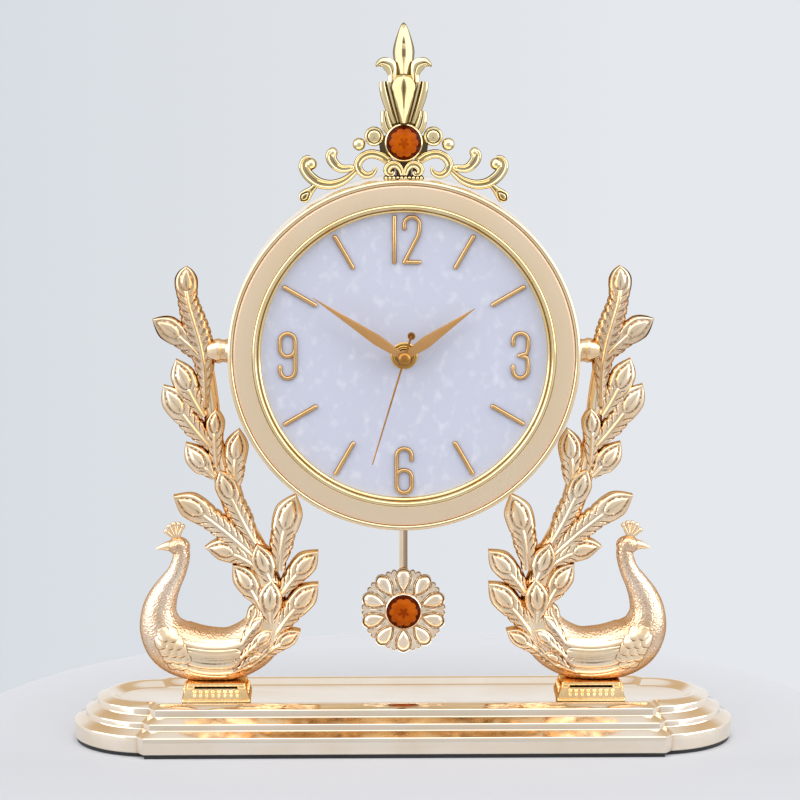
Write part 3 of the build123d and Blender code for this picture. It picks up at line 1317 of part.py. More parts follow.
# Pendulum rod: flat strip from the hanger's pegs to the back of the bob
rod_top = peg_places[1][1] + HANGER_WIDTH / 2
with BuildPart() as pendulum_rod:
    with BuildSketch(facing(rod_back, 0, 0)):
        with Locations((0, (rod_top + BOB_Z) / 2)):
            Rectangle(ROD_WIDTH, rod_top - BOB_Z)
        with Locations(*peg_places):
            Circle(PEG_RADIUS + SCREW_GAP, mode=Mode.SUBTRACT)
    extrude(amount=ROD_THICKNESS)
pendulum_rod.part.label = "pendulum_rod"
export_step(pendulum_rod.part, "parts/pendulum_rod.step")

# Bob: scalloped disc with raised petals round the gem's setting
scallop = BOB_RADIUS - PETAL_WIDTH / 2
petal_root = SETTING_RADIUS - PETAL_RISE
petal_mid = (petal_root + PETAL_OUTER) / 2
with BuildPart() as bob_flower:
    with BuildSketch(facing(rod_y, 0, BOB_Z)):
        Circle(scallop)
        with PolarLocations(scallop, 2 * PETAL_COUNT, start_angle=90):
            Circle(PETAL_WIDTH / 2)
    extrude(amount=BOB_THICKNESS)
    with BuildSketch(facing(rod_y - BOB_THICKNESS, 0, BOB_Z)):
        with PolarLocations(PETAL_OUTER, PETAL_COUNT, start_angle=90):
            Circle(PETAL_WIDTH / 2)
        with PolarLocations(petal_mid, PETAL_COUNT, start_angle=90):
            Rectangle(PETAL_OUTER - petal_root, PETAL_WIDTH / 2)
    extrude(amount=PETAL_RISE)
    with BuildSketch(facing(rod_y - BOB_THICKNESS, 0, BOB_Z)):
        Circle(SETTING_RADIUS)
    extrude(amount=SETTING_RISE)
    with BuildSketch(facing(rod_y - BOB_THICKNESS - SETTING_RISE, 0, BOB_Z)):
        Circle(GEM_RADIUS + GEM_GAP)
    extrude(amount=-SETTING_POCKET, mode=Mode.SUBTRACT)
bob_flower.part.label = "bob_flower"
export_step(bob_flower.part, "parts/bob_flower.step")

bob_gem = gem(rod_y - BOB_THICKNESS - SETTING_RISE + SETTING_POCKET, BOB_Z)
bob_gem.part.label = "bob_gem"
export_step(bob_gem.part, "parts/bob_gem.step")
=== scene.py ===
import json
from math import atan2, cos, exp, hypot, pi, radians, sin, sqrt

import bmesh
import bpy
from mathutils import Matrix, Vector


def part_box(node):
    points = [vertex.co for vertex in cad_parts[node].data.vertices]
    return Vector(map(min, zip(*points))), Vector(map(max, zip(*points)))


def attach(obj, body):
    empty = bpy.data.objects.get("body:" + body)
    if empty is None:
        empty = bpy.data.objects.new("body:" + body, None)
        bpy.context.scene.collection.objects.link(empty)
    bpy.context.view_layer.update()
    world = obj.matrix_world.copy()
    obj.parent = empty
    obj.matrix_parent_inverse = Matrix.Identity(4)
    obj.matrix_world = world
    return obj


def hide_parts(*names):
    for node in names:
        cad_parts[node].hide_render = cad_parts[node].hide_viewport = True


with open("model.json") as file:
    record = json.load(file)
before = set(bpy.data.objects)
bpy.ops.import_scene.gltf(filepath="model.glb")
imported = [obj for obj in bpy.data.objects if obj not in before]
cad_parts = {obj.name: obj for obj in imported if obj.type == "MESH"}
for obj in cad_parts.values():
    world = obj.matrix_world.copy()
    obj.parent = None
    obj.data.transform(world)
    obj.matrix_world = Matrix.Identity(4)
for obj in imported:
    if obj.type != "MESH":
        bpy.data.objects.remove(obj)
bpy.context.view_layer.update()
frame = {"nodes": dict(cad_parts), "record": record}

ROUND = 144

# Lengths in millimetres and turns in degrees, on the frame the solids use: front at -Y, up is +Z
MM = 0.001
CASE_Z = 194.0
CASE_RADIUS = 85.4
CASE_BORE = 83.0
CASE_FRONT = -25.0
CASE_BACK = 22.0
CASE_STEPS = 180
FLANGE_FRONT = -23.4
FLANGE_BACK = -20.4
FLANGE_BORE = 71.6
SLOT_TURN = 10.0
SLOT_FRONT = -0.7
SLOT_BACK = 4.1
BEZEL_INNER = 73.6
BEZEL_OUTER = 82.8
RING_INNER = 69.3
RING_OUTER = 73.4
RING_SEAT = 71.4
DIAL_RADIUS = 80.5
DIAL_HOLE = 4.1
DIAL_FRONT = -20.4
DIAL_BACK = -19.2
BAR_INNER = 48.6
BAR_OUTER = 67.6
BAR_WIDTH = 2.3
MARK_HEIGHT = 1.5
NUMERAL_CIRCLE = 56.4
NUMERAL_HEIGHT = 24.0
NUMERAL_WIDTH = 9.4
NUMERAL_STROKE = 2.15
HOUR_TURN = 55.3
MINUTE_TURN = 303.6
SECOND_TURN = 196.8
BASE_RUN = 127.0
BASE_DEPTH = 45.0
BASE_NOTCH = 4.5
BASE_FACET = 3.4
BASE_REACH = 164.0
STEP_INSET = 5.8
RUN_LOST_PER_STEP = 2.7
PANEL_Z = 20.5
PANEL_INSET = 23.6
PEDESTAL_X = 93.0
PEDESTAL_HALF_WIDTH = 17.0
PEDESTAL_HALF_DEPTH = 14.0
BEAD_RISE = 4.0
POST_RADIUS = 6.2
CREST_Z = 279.4
CREST_Y = -4.0
CREST_HALF = 3.0
CREST_GEM_Z = 296.4
GEM_GIRDLE = 8.3
GEM_TABLE = 4.6
GEM_HEIGHT = 4.8
SETTING_OUTER = 9.3
SETTING_INNER = 8.4
BOB_Z = 64.0
BOB_HUB = 8.6
ROD_Y = 0.9
ROD_HALF = 2.1
ROD_BACK = 2.5
COVER_RADIUS = 82.7
COVER_FRONT = 19.6
COVER_SCREW_CIRCLE = 78.5
WINDOW_HALF = 32.0
WINDOW_TOP = 33.0
WINDOW_LOW = 51.0
TABLE_RADIUS = 231.0
SIDES = ((-1, "left"), (1, "right"))


# Meshes
def turns(steps):
    """Angles that part a full turn into equal steps."""
    return [2 * pi * i / steps for i in range(steps)]


def heading(path, k):
    """Direction of a path at one of its points, whose rows start with x and end with z."""
    before, after = path[max(k - 1, 0)], path[min(k + 1, len(path) - 1)]
    dx, dz = after[0] - before[0], after[-1] - before[-1]
    size = hypot(dx, dz) or 1.0
    return dx / size, dz / size


class Shape:
    """Points in millimetres and the faces between them. A face has the number of its material, and a point
    has a tone of painted shade, from 0, bare metal, to 1, the full dark painted into hollows, lines and
    edges."""

    def __init__(self):
        self.points, self.faces, self.marks, self.tones = [], [], [], []

    def add(self, points, faces, mark=0, tones=None):
        start = len(self.points)
        self.points += points
        self.tones += tones or [0.0] * len(points)
        self.faces += [[start + i for i in face] for face in faces]
        self.marks += [mark] * len(faces)

    def skin(self, rings, mark=0, capped=True, tones=None):
        """Quads between rings of points that follow one another; tones are those of one ring."""
        count = len(rings[0])
        last = (len(rings) - 1) * count
        faces = [(r + i, r + (i + 1) % count, r + count + (i + 1) % count, r + count + i)
                 for r in range(0, last, count) for i in range(count)]
        if capped:
            faces += [tuple(range(count)), tuple(range(last, last + count))]
        self.add([p for ring in rings for p in ring], faces, mark, tones and tones * len(rings))

    def turned(self, profile, centre=(0, CASE_Z), steps=ROUND, loop=False):
        """A profile of radius and depth turned about a line along Y through a centre in x and z."""
        rings = [[(centre[0] + r * sin(a), y, centre[1] + r * cos(a)) for a in turns(steps)]
                 for r, y in profile]
        self.skin(rings + rings[:1] if loop else rings, capped=not loop)

    def upright(self, profile, steps):
        """A profile of radius and height turned about the Z axis."""
        self.skin([[(r * cos(a), r * sin(a), z) for a in turns(steps)] for r, z in profile])

    def ball(self, centre, radii, steps, mark=0):
        """A ball or an egg with its own radius along each axis."""
        x, y, z = centre
        tilts = [pi * min(max(2 * k / steps, 0.012), 0.988) for k in range(steps // 2 + 1)]
        self.skin([[(x + radii[0] * sin(b) * cos(a), y + radii[1] * sin(b) * sin(a), z + radii[2] * cos(b))
                    for a in turns(steps)] for b in tilts], mark)

    def block(self, low, high, eased, mark=0):
        """A box between two corners, with round upright edges and its other edges eased."""
        plan = [(high[0] - 1 if right else low[0] + 1, high[1] - 1 if rear else low[1] + 1,
                 cos(radians(start + step)), sin(radians(start + step)))
                for right, rear, start in ((1, 1, 0), (0, 1, 90), (0, 0, 180), (1, 0, 270))
                for step in (0, 30, 60, 90)]
        soft = eased * 0.3
        levels = ((low[2], eased), (low[2] + soft, soft), (low[2] + eased, 0), (high[2] - eased, 0),
                  (high[2] - soft, soft), (high[2], eased))
        self.skin([[(x + c * (1 - inset), y + s * (1 - inset), z) for x, y, c, s in plan]
                   for z, inset in levels], mark)

    def tube(self, path, radius_at, section):
        """A tube along a path, with a section in rows of width, depth and tone."""
        rings = []
        for k, (x, y, z) in enumerate(path):
            dx, dz = heading(path, k)
            radius = radius_at(k / (len(path) - 1))
            rings.append([(x + dz * radius * w, y + radius * d, z - dx * radius * w)
                          for w, d, tone in section])
        self.skin(rings, tones=[tone for w, d, tone in section])


def oval(steps, flat=1.0):
    return [(cos(a), flat * sin(a), 0.0) for a in turns(steps)]


# Section of a scroll in width, depth and tone: two rounded ridges with a channel between them, the same in
# front and behind; the tone paints shade and dark reflection along the outer edges and in the channel
QUARTER_BAND = ((-1.0, -0.35, 1.0), (-0.97, -0.62, 0.9), (-0.88, -0.84, 0.2), (-0.68, -0.98, 0.0),
                (-0.5, -0.95, 0.0), (-0.36, -0.84, 0.2), (-0.22, -0.74, 0.85))
HALF_BAND = QUARTER_BAND + ((0.0, -0.72, 0.1),) + tuple((-w, d, tone) for w, d, tone in QUARTER_BAND[::-1])
BAND = (HALF_BAND + ((1.0, 0.0, 0.15),) + tuple((-w, -d, tone) for w, d, tone in HALF_BAND)
        + ((-1.0, 0.0, 0.15),))
# Painted shade on the side walls of a leaf, as a share of its edge tone
WALL_TONE = 0.15


def blade(shape, spine, outline, front, back, rows, columns, place, edge=0.75, tone=None):
    """A leaf between two relief surfaces. spine gives the middle line and the way across it, and outline
    the half width. front and back give the depth from the share along, the offset across and the place
    itself. tone gives the painted shade of a place, and edge the same along the sides."""
    sides, tones = ([], []), []
    for i in range(rows + 1):
        v = i / rows
        (x, z), (ax, az) = spine(v)
        wide = outline(v)
        for j in range(columns + 1):
            u = 2 * j / columns - 1
            px, pz = x + ax * u * wide, z + az * u * wide
            for side, depth in zip(sides, (front, back)):
                side.append(place(px, depth(v, u, u * wide, px, pz), pz))
            inside = tone(v, u, u * wide) if tone else 0.0
            tones.append(edge if j in (0, columns) else min(1.0, inside))
    row, size = columns + 1, len(tones)
    faces = []
    for i in range(rows):
        for a in range(i * row, i * row + columns):
            b = size + a
            faces += [(a, a + 1, a + row + 1, a + row), (b, b + row, b + row + 1, b + 1)]
    rim = list(range(columns)) + [i * row + columns for i in range(rows)]
    rim += [size - 1 - k for k in rim]
    walls = [tuple((p + q) / 2 for p, q in zip(sides[0][k], sides[1][k])) for k in rim]
    for n, a in enumerate(rim):
        after = (n + 1) % len(rim)
        b, m, k = rim[after], 2 * size + n, 2 * size + after
        faces += [(a, b, k, m), (m, k, size + b, size + a)]
    shape.add(sides[0] + sides[1] + walls, faces, 0, tones * 2 + [WALL_TONE * edge] * len(rim))


def bowed(root, tip, bow):
    """Spine of a leaf from root to tip, pushed sideways in the middle."""
    length = hypot(tip[0] - root[0], tip[1] - root[1])
    along = ((tip[0] - root[0]) / length, (tip[1] - root[1]) / length)

    def spine(v):
        lift = 4 * bow * v * (1 - v)
        lean = 4 * bow * (1 - 2 * v) / length
        ax, az = -along[1] - lean * along[0], along[0] - lean * along[1]
        size = hypot(ax, az)
        return ((root[0] + v * (tip[0] - root[0]) - along[1] * lift,
                 root[1] + v * (tip[1] - root[1]) + along[0] * lift), (ax / size, az / size))
    return spine


def through(points, steps):
    """A smooth run through given rows of numbers."""
    last = len(points) - 1
    run = []
    for i in range(last):
        rows = (points[max(i - 1, 0)], points[i], points[i + 1], points[min(i + 2, last)])
        for k in range(steps):
            t = k / steps
            run.append(tuple(0.5 * (2 * q + (r - p) * t + (2 * p - 5 * q + 4 * r - s) * t * t
                                    + (3 * q - p - 3 * r + s) * t ** 3) for p, q, r, s in zip(*rows)))
    return run + [tuple(points[last])]


def path_leaf(points):
    """Spine and outline of a leaf along a smooth run of rows, each with x, z and half width."""
    run = through(points, 8)

    def between(v):
        at = min(v, 1.0) * (len(run) - 1)
        k = min(int(at), len(run) - 2)
        return run[k], run[k + 1], at - k

    def spine(v):
        a, b, t = between(v)
        dx, dz = b[0] - a[0], b[1] - a[1]
        size = hypot(dx, dz) or 1.0
        return ((a[0] + dx * t, a[1] + dz * t), (-dz / size, dx / size))

    def outline(v):
        a, b, t = between(v)
        return max(0.05, a[2] + (b[2] - a[2]) * t)
    return spine, outline


def ease(low, high, value):
    """0 below low, 1 above high and a smooth change between them."""
    t = min(max((value - low) / (high - low), 0.0), 1.0)
    return t * t * (3 - 2 * t)


def bell(value, width):
    return exp(-(value / width) ** 2)


def as_is(*point):
    return point


# Pieces
def smoothed(mesh, sharp):
    """Joins doubled points, turns the normals outward, keeps sharp edges crisp and paints shade into the
    hollows.
    """
    form = bmesh.new()
    form.from_mesh(mesh)
    hollow_shade = form.verts.layers.float.get("painted_shade") or form.verts.layers.float.new("painted_shade")
    bmesh.ops.remove_doubles(form, verts=form.verts, dist=4e-6)
    bmesh.ops.dissolve_degenerate(form, edges=form.edges, dist=2e-6)
    bmesh.ops.recalc_face_normals(form, faces=form.faces)
    form.normal_update()
    # Painted shade: each point keeps the larger of its own tone and one from how far it lies below its
    # neighbours
    for point in form.verts:
        rise = 0.0
        for side in point.link_edges:
            away = side.other_vert(point).co - point.co
            rise += point.normal.dot(away) / max(away.length, 1e-9)
        point[hollow_shade] = min(1.0, max(point[hollow_shade], 2.6 * rise / max(len(point.link_edges), 1)))
    form.to_mesh(mesh)
    form.free()
    mesh.shade_smooth()
    mesh.set_sharp_from_angle(angle=radians(sharp))


def to_object(name, shape, *finishes):
    mesh = bpy.data.meshes.new(name)
    mesh.from_pydata([(x * MM, y * MM, z * MM) for x, y, z in shape.points], [], shape.faces)
    mesh.polygons.foreach_set("material_index", shape.marks)
    # The tones go on the mesh as the painted shade of each point
    mesh.attributes.new("painted_shade", "FLOAT", "POINT").data.foreach_set("value", shape.tones)
    for finish in finishes:
        mesh.materials.append(finish)
    obj = bpy.data.objects.new(name, mesh)
    bpy.context.scene.collection.objects.link(obj)
    return obj


def enlist(obj, stands_for, body, sharp):
    """Finishes an object's mesh, puts it on its body and hides the node it stands for."""
    smoothed(obj.data, sharp)
    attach(obj, body)
    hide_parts(stands_for)


def piece(name, shape, finishes, stands_for, body="clock", sharp=40):
    enlist(to_object(name, shape, *finishes), stands_for, body, sharp)


def grown(name, shape, tree, values, stands_for, body="clock", sharp=40):
    """Runs a rule on a shape and keeps the result as the piece's mesh."""
    obj = to_object(name, shape)
    rule = obj.modifiers.new("rule", "NODES")
    rule.node_group = tree
    for item in tree.interface.items_tree:
        if item.item_type == "SOCKET" and item.in_out == "INPUT" and item.name in values:
            rule[item.identifier] = values[item.name]
    view = bpy.context.evaluated_depsgraph_get()
    mesh = bpy.data.meshes.new_from_object(obj.evaluated_get(view))
    obj.modifiers.clear()
    obj.data = mesh
    enlist(obj, stands_for, body, sharp)


# Nodes
SOCKETS = {"mesh": "NodeSocketGeometry", "count": "NodeSocketInt", "value": "NodeSocketFloat",
           "place": "NodeSocketVector", "object": "NodeSocketObject", "finish": "NodeSocketMaterial",
           "colour": "NodeSocketColor"}


def feed(tree, box, inputs):
    """Sets inputs of a node, each to a value or from the output of another node."""
    for key, value in inputs.items():
        if isinstance(value, bpy.types.NodeSocket):
            tree.links.new(value, box.inputs[key])
        else:
            box.inputs[key].default_value = value


def node(tree, kind, inputs=None, out=0, **options):
    """Makes a node and returns one of its outputs, by name or number."""
    box = tree.nodes.new(kind)
    for key, value in options.items():
        setattr(box, key, value)
    feed(tree, box, inputs or {})
    return box.outputs[out]


def maths(tree, kind, *values):
    return node(tree, "ShaderNodeMath", dict(enumerate(values)), operation=kind)


def node_group(name, kind, inputs, outputs):
    """An empty group with named inputs and outputs, the sockets that bring its inputs and its last node."""
    tree = bpy.data.node_groups.new(name, kind)
    for way, labels in (("INPUT", inputs), ("OUTPUT", outputs)):
        for label, sort in labels.items():
            tree.interface.new_socket(label, in_out=way, socket_type=SOCKETS[sort])
    return tree, tree.nodes.new("NodeGroupInput").outputs, tree.nodes.new("NodeGroupOutput")


def realized(tree, copies, finish, end):
    """Ends a rule: copies become one mesh, welded where they meet, with the material of the piece."""
    real = node(tree, "GeometryNodeRealizeInstances", {"Geometry": copies})
    weld = node(tree, "GeometryNodeMergeByDistance", {"Geometry": real, "Distance": 1e-5})
    dressed = node(tree, "GeometryNodeSetMaterial", {"Geometry": weld, "Material": finish})
    feed(tree, end, {"Geometry": dressed})


def dial_rule():
    """Copies of a mesh turned clockwise about a line along Y. The last of every Gap after of them is left
    out."""
    tree, given, end = node_group("copies_round_a_centre", "GeometryNodeTree", {
        "Geometry": "mesh", "Count": "count", "First turn": "value", "Gap after": "count", "Centre": "place",
        "Finish": "finish"}, {"Geometry": "mesh"})
    points = node(tree, "GeometryNodePoints", {"Count": given["Count"], "Position": given["Centre"]})
    index = node(tree, "GeometryNodeInputIndex")
    step = maths(tree, "DIVIDE", 2 * pi, given["Count"])
    turn = maths(tree, "ADD", maths(tree, "MULTIPLY", index, step), given["First turn"])
    kept = maths(tree, "LESS_THAN", maths(tree, "MODULO", index, given["Gap after"]),
                 maths(tree, "SUBTRACT", given["Gap after"], 1.0))
    copies = node(tree, "GeometryNodeInstanceOnPoints", {
        "Points": points, "Instance": given["Geometry"], "Selection": kept,
        "Rotation": node(tree, "ShaderNodeCombineXYZ", {"Y": turn})})
    realized(tree, copies, given["Finish"], end)
    return tree


def place_rule():
    """Copies of a small object at every point of the mesh."""
    tree, given, end = node_group("copies_at_places", "GeometryNodeTree", {
        "Geometry": "mesh", "Small piece": "object", "Finish": "finish"}, {"Geometry": "mesh"})
    small = node(tree, "GeometryNodeObjectInfo", {"Object": given["Small piece"], "As Instance": True},
                 "Geometry")
    copies = node(tree, "GeometryNodeInstanceOnPoints", {"Points": given["Geometry"], "Instance": small})
    realized(tree, copies, given["Finish"], end)
    return tree


ROUND_A_CENTRE = dial_rule()
AT_PLACES = place_rule()


# Materials
def tint(*colour):
    """A colour given on the scale of 0 to 255, as the shaders take it."""
    shares = [c / 255 for c in colour]
    return tuple(c / 12.92 if c <= 0.04045 else ((c + 0.055) / 1.055) ** 2.4 for c in shares) + (1.0,)


def noise(tree, scale, detail, stretch=(1, 1, 1)):
    """Noise on the object's own coordinates, drawn out along an axis where asked."""
    place = node(tree, "ShaderNodeTexCoord", out="Object")
    drawn = node(tree, "ShaderNodeMapping", {"Vector": place, "Scale": stretch})
    return node(tree, "ShaderNodeTexNoise", {"Vector": drawn, "Scale": scale, "Detail": detail})


def ranged(tree, value, low, high, to_low=0.0, to_high=1.0):
    return node(tree, "ShaderNodeMapRange", {"Value": value, "From Min": low, "From Max": high,
                                             "To Min": to_low, "To Max": to_high})


def mixed(tree, factor, a, b):
    """A mix of two colours; the colour sockets of the node have the numbers 6 and 7, and their result 2."""
    return node(tree, "ShaderNodeMix", {0: factor, 6: a, 7: b}, 2, data_type="RGBA")


def wear_group():
    """Soft patches of a deeper colour and of rougher polish over plating."""
    tree, given, end = node_group("plating_wear", "ShaderNodeTree", {
        "Bright": "colour", "Deep": "colour", "Smooth": "value", "Rough": "value"},
        {"Colour": "colour", "Roughness": "value", "Height": "value"})
    patches = ranged(tree, noise(tree, 38.0, 3.0), 0.35, 0.7)
    fine = noise(tree, 420.0, 4.0)
    feed(tree, end, {"Colour": mixed(tree, patches, given["Bright"], given["Deep"]), "Height": fine,
                     "Roughness": ranged(tree, fine, 0.3, 0.75, given["Smooth"], given["Rough"])})
    return tree


def stipple_group():
    """Small close pits of a hammered casting."""
    tree, given, end = node_group("stipple", "ShaderNodeTree", {"Scale": "value"},
                                  {"Height": "value", "Pits": "value"})
    place = node(tree, "ShaderNodeTexCoord", out="Object")
    cells = node(tree, "ShaderNodeTexVoronoi", {"Vector": place, "Scale": given["Scale"]}, "Distance")
    feed(tree, end, {"Height": cells, "Pits": ranged(tree, cells, 0.35, 0.75)})
    return tree


PLATING_WEAR = wear_group()
STIPPLE = stipple_group()


def blank(name):
    finish = bpy.data.materials.new(name)
    finish.use_nodes = True
    return finish, finish.node_tree, finish.node_tree.nodes["Principled BSDF"]


def plated(name, bright, deep, smooth, rough, grain=0.004, metal=1.0, pits=0.0, pit_scale=900.0, hollow_shade=None,
           rim=(255, 255, 255)):
    """Metal or plating whose colour and polish vary a little, hammered where pits are asked for. The depths
    of grain and pits are in millimetres. The hollow colour is that of the shade painted into hollows, lines
    and edges, and rim that of a grazing look."""
    finish, tree, shader = blank(name)
    wear = node(tree, "ShaderNodeGroup", node_tree=PLATING_WEAR).node
    feed(tree, wear, {"Bright": tint(*bright), "Deep": tint(*deep), "Smooth": smooth, "Rough": rough})
    colour, height, depth = wear.outputs["Colour"], wear.outputs["Height"], grain
    if pits:
        marks = node(tree, "ShaderNodeGroup", node_tree=STIPPLE).node
        feed(tree, marks, {"Scale": pit_scale})
        height, depth = marks.outputs["Height"], pits
        colour = mixed(tree, ranged(tree, marks.outputs["Pits"], 0.0, 1.0, 0.0, 0.45), colour, tint(*deep))
    # Painted shade: the colour turns towards the dark hollow colour as far as each point's painted shade asks
    if hollow_shade:
        painted_shade = node(tree, "ShaderNodeAttribute", out="Fac", attribute_name="painted_shade")
        colour = mixed(tree, painted_shade, colour, tint(*hollow_shade))
    bump = node(tree, "ShaderNodeBump", {"Strength": 1.0, "Distance": depth * MM, "Height": height})
    feed(tree, shader, {"Base Color": colour, "Roughness": wear.outputs["Roughness"], "Metallic": metal,
                        "Specular Tint": tint(*rim), "Normal": bump})
    return finish


WARM_RIM = (206, 160, 108)
# The hollow colour of each finish is the painted shade for its hollows, lines and edges
BASE_PLATING = plated("base_plating", (249, 238, 222), (243, 228, 206), 0.06, 0.12, hollow_shade=(214, 156, 78))
CAST_GOLD = plated("cast_gold", (255, 236, 206), (248, 214, 170), 0.12, 0.20, 0.008, hollow_shade=(112, 62, 22),
                   rim=WARM_RIM)
PEDESTAL_GOLD = plated("pedestal_gold", (253, 224, 176), (238, 194, 128), 0.14, 0.24, pits=0.06,
                       pit_scale=1100.0, hollow_shade=(140, 82, 26), rim=WARM_RIM)
STIPPLED_GOLD = plated("stippled_gold", (246, 226, 205), (220, 184, 146), 0.16, 0.24, pits=0.20,
                       pit_scale=950.0, hollow_shade=(180, 112, 52), rim=WARM_RIM)
CREST_GOLD = plated("crest_gold", (240, 225, 181), (228, 206, 153), 0.05, 0.10, 0.003, hollow_shade=(84, 60, 24),
                    rim=(150, 122, 66))
BOB_GOLD = plated("bob_gold", (255, 240, 216), (248, 223, 192), 0.10, 0.18, 0.006, hollow_shade=(120, 82, 46),
                  rim=(180, 146, 104))
CASE_GOLD = plated("case_gold", (252, 232, 194), (244, 214, 166), 0.07, 0.13, hollow_shade=(150, 96, 44))
RING_GOLD = plated("ring_gold", (248, 228, 180), (238, 210, 152), 0.09, 0.16, hollow_shade=(120, 78, 30))
HAND_GOLD = plated("hand_gold", (206, 158, 100), (196, 146, 88), 0.42, 0.52, metal=0.55)
NEEDLE_GOLD = plated("needle_gold", (184, 132, 66), (160, 108, 48), 0.22, 0.34, metal=0.9)
MARK_GOLD = plated("mark_gold", (232, 192, 138), (212, 168, 108), 0.20, 0.30, hollow_shade=(112, 72, 28))
BRASS = plated("brass", (226, 180, 98), (184, 134, 62), 0.12, 0.24, hollow_shade=(90, 58, 20))
STEEL = plated("steel", (205, 205, 208), (176, 177, 182), 0.22, 0.36)
COPPER = plated("copper", (214, 140, 92), (182, 104, 60), 0.28, 0.42, pits=0.06, pit_scale=1800.0)
BLACK = plated("black_plastic", (34, 34, 36), (24, 24, 26), 0.42, 0.58, 0.03, 0.0)
WHEEL = plated("wheel_plastic", (226, 222, 206), (214, 208, 190), 0.40, 0.55, 0.02, 0.0)
BOARD = plated("board", (40, 96, 62), (28, 78, 48), 0.32, 0.5, 0.02, 0.0)
MAGNET = plated("magnet", (92, 92, 95), (70, 70, 74), 0.45, 0.62, 0.04, 0.6)
RUBBER = plated("rubber", (40, 40, 41), (30, 30, 31), 0.65, 0.82, 0.05, 0.0)
CELL = plated("cell_sleeve", (62, 70, 90), (50, 57, 76), 0.26, 0.40, 0.01, 0.3)


def champagne_face():
    """Pale metal face with faint streaks, rosier towards its outer edge."""
    finish, tree, shader = blank("champagne_face")
    place = node(tree, "ShaderNodeTexCoord", out="Object")
    centred = node(tree, "ShaderNodeMapping", {"Vector": place, "Location": (0, 0, -CASE_Z * MM)})
    across = node(tree, "ShaderNodeVectorMath", {0: centred, 1: (1, 0, 1)}, operation="MULTIPLY")
    radius = node(tree, "ShaderNodeVectorMath", {0: across}, "Value", operation="LENGTH")
    outward = ranged(tree, radius, BEZEL_INNER * MM, BEZEL_OUTER * MM)
    streaks = ranged(tree, noise(tree, 26.0, 3.0, (1, 1, 0.35)), 0.4, 0.7)
    plain = mixed(tree, streaks, tint(240, 219, 188), tint(232, 208, 174))
    rosy = mixed(tree, ranged(tree, outward, 0.7, 1.0, 0.0, 0.45), plain, tint(246, 208, 182))
    feed(tree, shader, {"Base Color": rosy, "Metallic": 0.55,
                        "Roughness": ranged(tree, streaks, 0.0, 1.0, 0.34, 0.44)})
    return finish


def pearl_dial():
    """Pale lilac dial with faint wisps."""
    finish, tree, shader = blank("pearl_dial")
    wisps = ranged(tree, noise(tree, 190.0, 7.0, (1, 1, 0.8)), 0.53, 0.72)
    feed(tree, shader, {"Base Color": mixed(tree, wisps, tint(212, 215, 232), tint(227, 229, 242)),
                        "Roughness": ranged(tree, wisps, 0.0, 1.0, 0.50, 0.40), "Specular IOR Level": 0.25})
    return finish


def amber(name, light, dark, edge):
    """Backed amber glass with painted reflection: the stone's colour where a facet faces the eye, turning
    towards the edge colour where it is seen at a slant.
    """
    finish, tree, shader = blank(name)
    # Painted reflection: a facet seen at a slant turns towards the edge colour
    facing = node(tree, "ShaderNodeLayerWeight", {"Blend": 0.35}, "Facing")
    stone = mixed(tree, ranged(tree, noise(tree, 160.0, 2.0), 0.35, 0.68), light, dark)
    feed(tree, shader, {"Base Color": mixed(tree, facing, stone, edge), "Roughness": 0.05,
                        "Specular IOR Level": 0.06})
    return finish


def pale_table():
    """Pale floor with painted light: greyer at the front, paler towards the back."""
    finish, tree, shader = blank("pale_table")
    place = node(tree, "ShaderNodeTexCoord", out="Object")
    # Painted light: the floor grows paler from the front to the back
    painted_rear_light = ranged(tree, node(tree, "ShaderNodeSeparateXYZ", {0: place}, "Y"), -0.05, 0.2)
    feed(tree, shader, {"Base Color": mixed(tree, painted_rear_light, tint(209, 210, 214), tint(243, 244, 248)),
                        "Roughness": 0.6, "Specular IOR Level": 0.1})
    return finish


CHAMPAGNE = champagne_face()
PEARL = pearl_dial()
# Ambers with painted reflection: bright, dark and middle
AMBER_PAINTED_BRIGHT = amber("amber_painted_bright", tint(206, 98, 6), tint(176, 74, 3), tint(120, 42, 2))
AMBER_PAINTED_DARK = amber("amber_painted_dark", tint(92, 28, 4), tint(66, 18, 3), tint(104, 34, 5))
AMBER_PAINTED_MID = amber("amber_painted_mid", tint(176, 74, 4), tint(140, 50, 3), tint(96, 30, 2))
STONE = (AMBER_PAINTED_BRIGHT, AMBER_PAINTED_DARK, AMBER_PAINTED_MID)


# Base
def base_ring(inset, z):
    """The base's outline drawn in by an inset: long straight sides, a slanted facet and round lobes."""
    run = BASE_RUN - inset * RUN_LOST_PER_STEP / STEP_INSET
    depth = BASE_DEPTH - inset
    lobe = depth - BASE_NOTCH
    end = BASE_REACH - inset
    corner = run + BASE_FACET
    reach = end - corner
    middle = corner + (reach * reach - lobe * lobe) / (2 * reach)
    radius = end - middle
    first = atan2(-lobe, corner - middle)
    right = [(run * k / 16, -depth) for k in range(17)]
    right += [(run + BASE_FACET * k / 3, -depth + BASE_NOTCH * k / 3) for k in range(1, 3)]
    right += [(middle + radius * cos(a), radius * sin(a)) for a in (first * (1 - k / 40) for k in range(81))]
    right += [(x, -y) for x, y in right[18:16:-1]] + [(run * k / 16, depth) for k in range(16, 0, -1)]
    return [(x, y, z) for x, y in right + [(-x, -y) for x, y in right]]


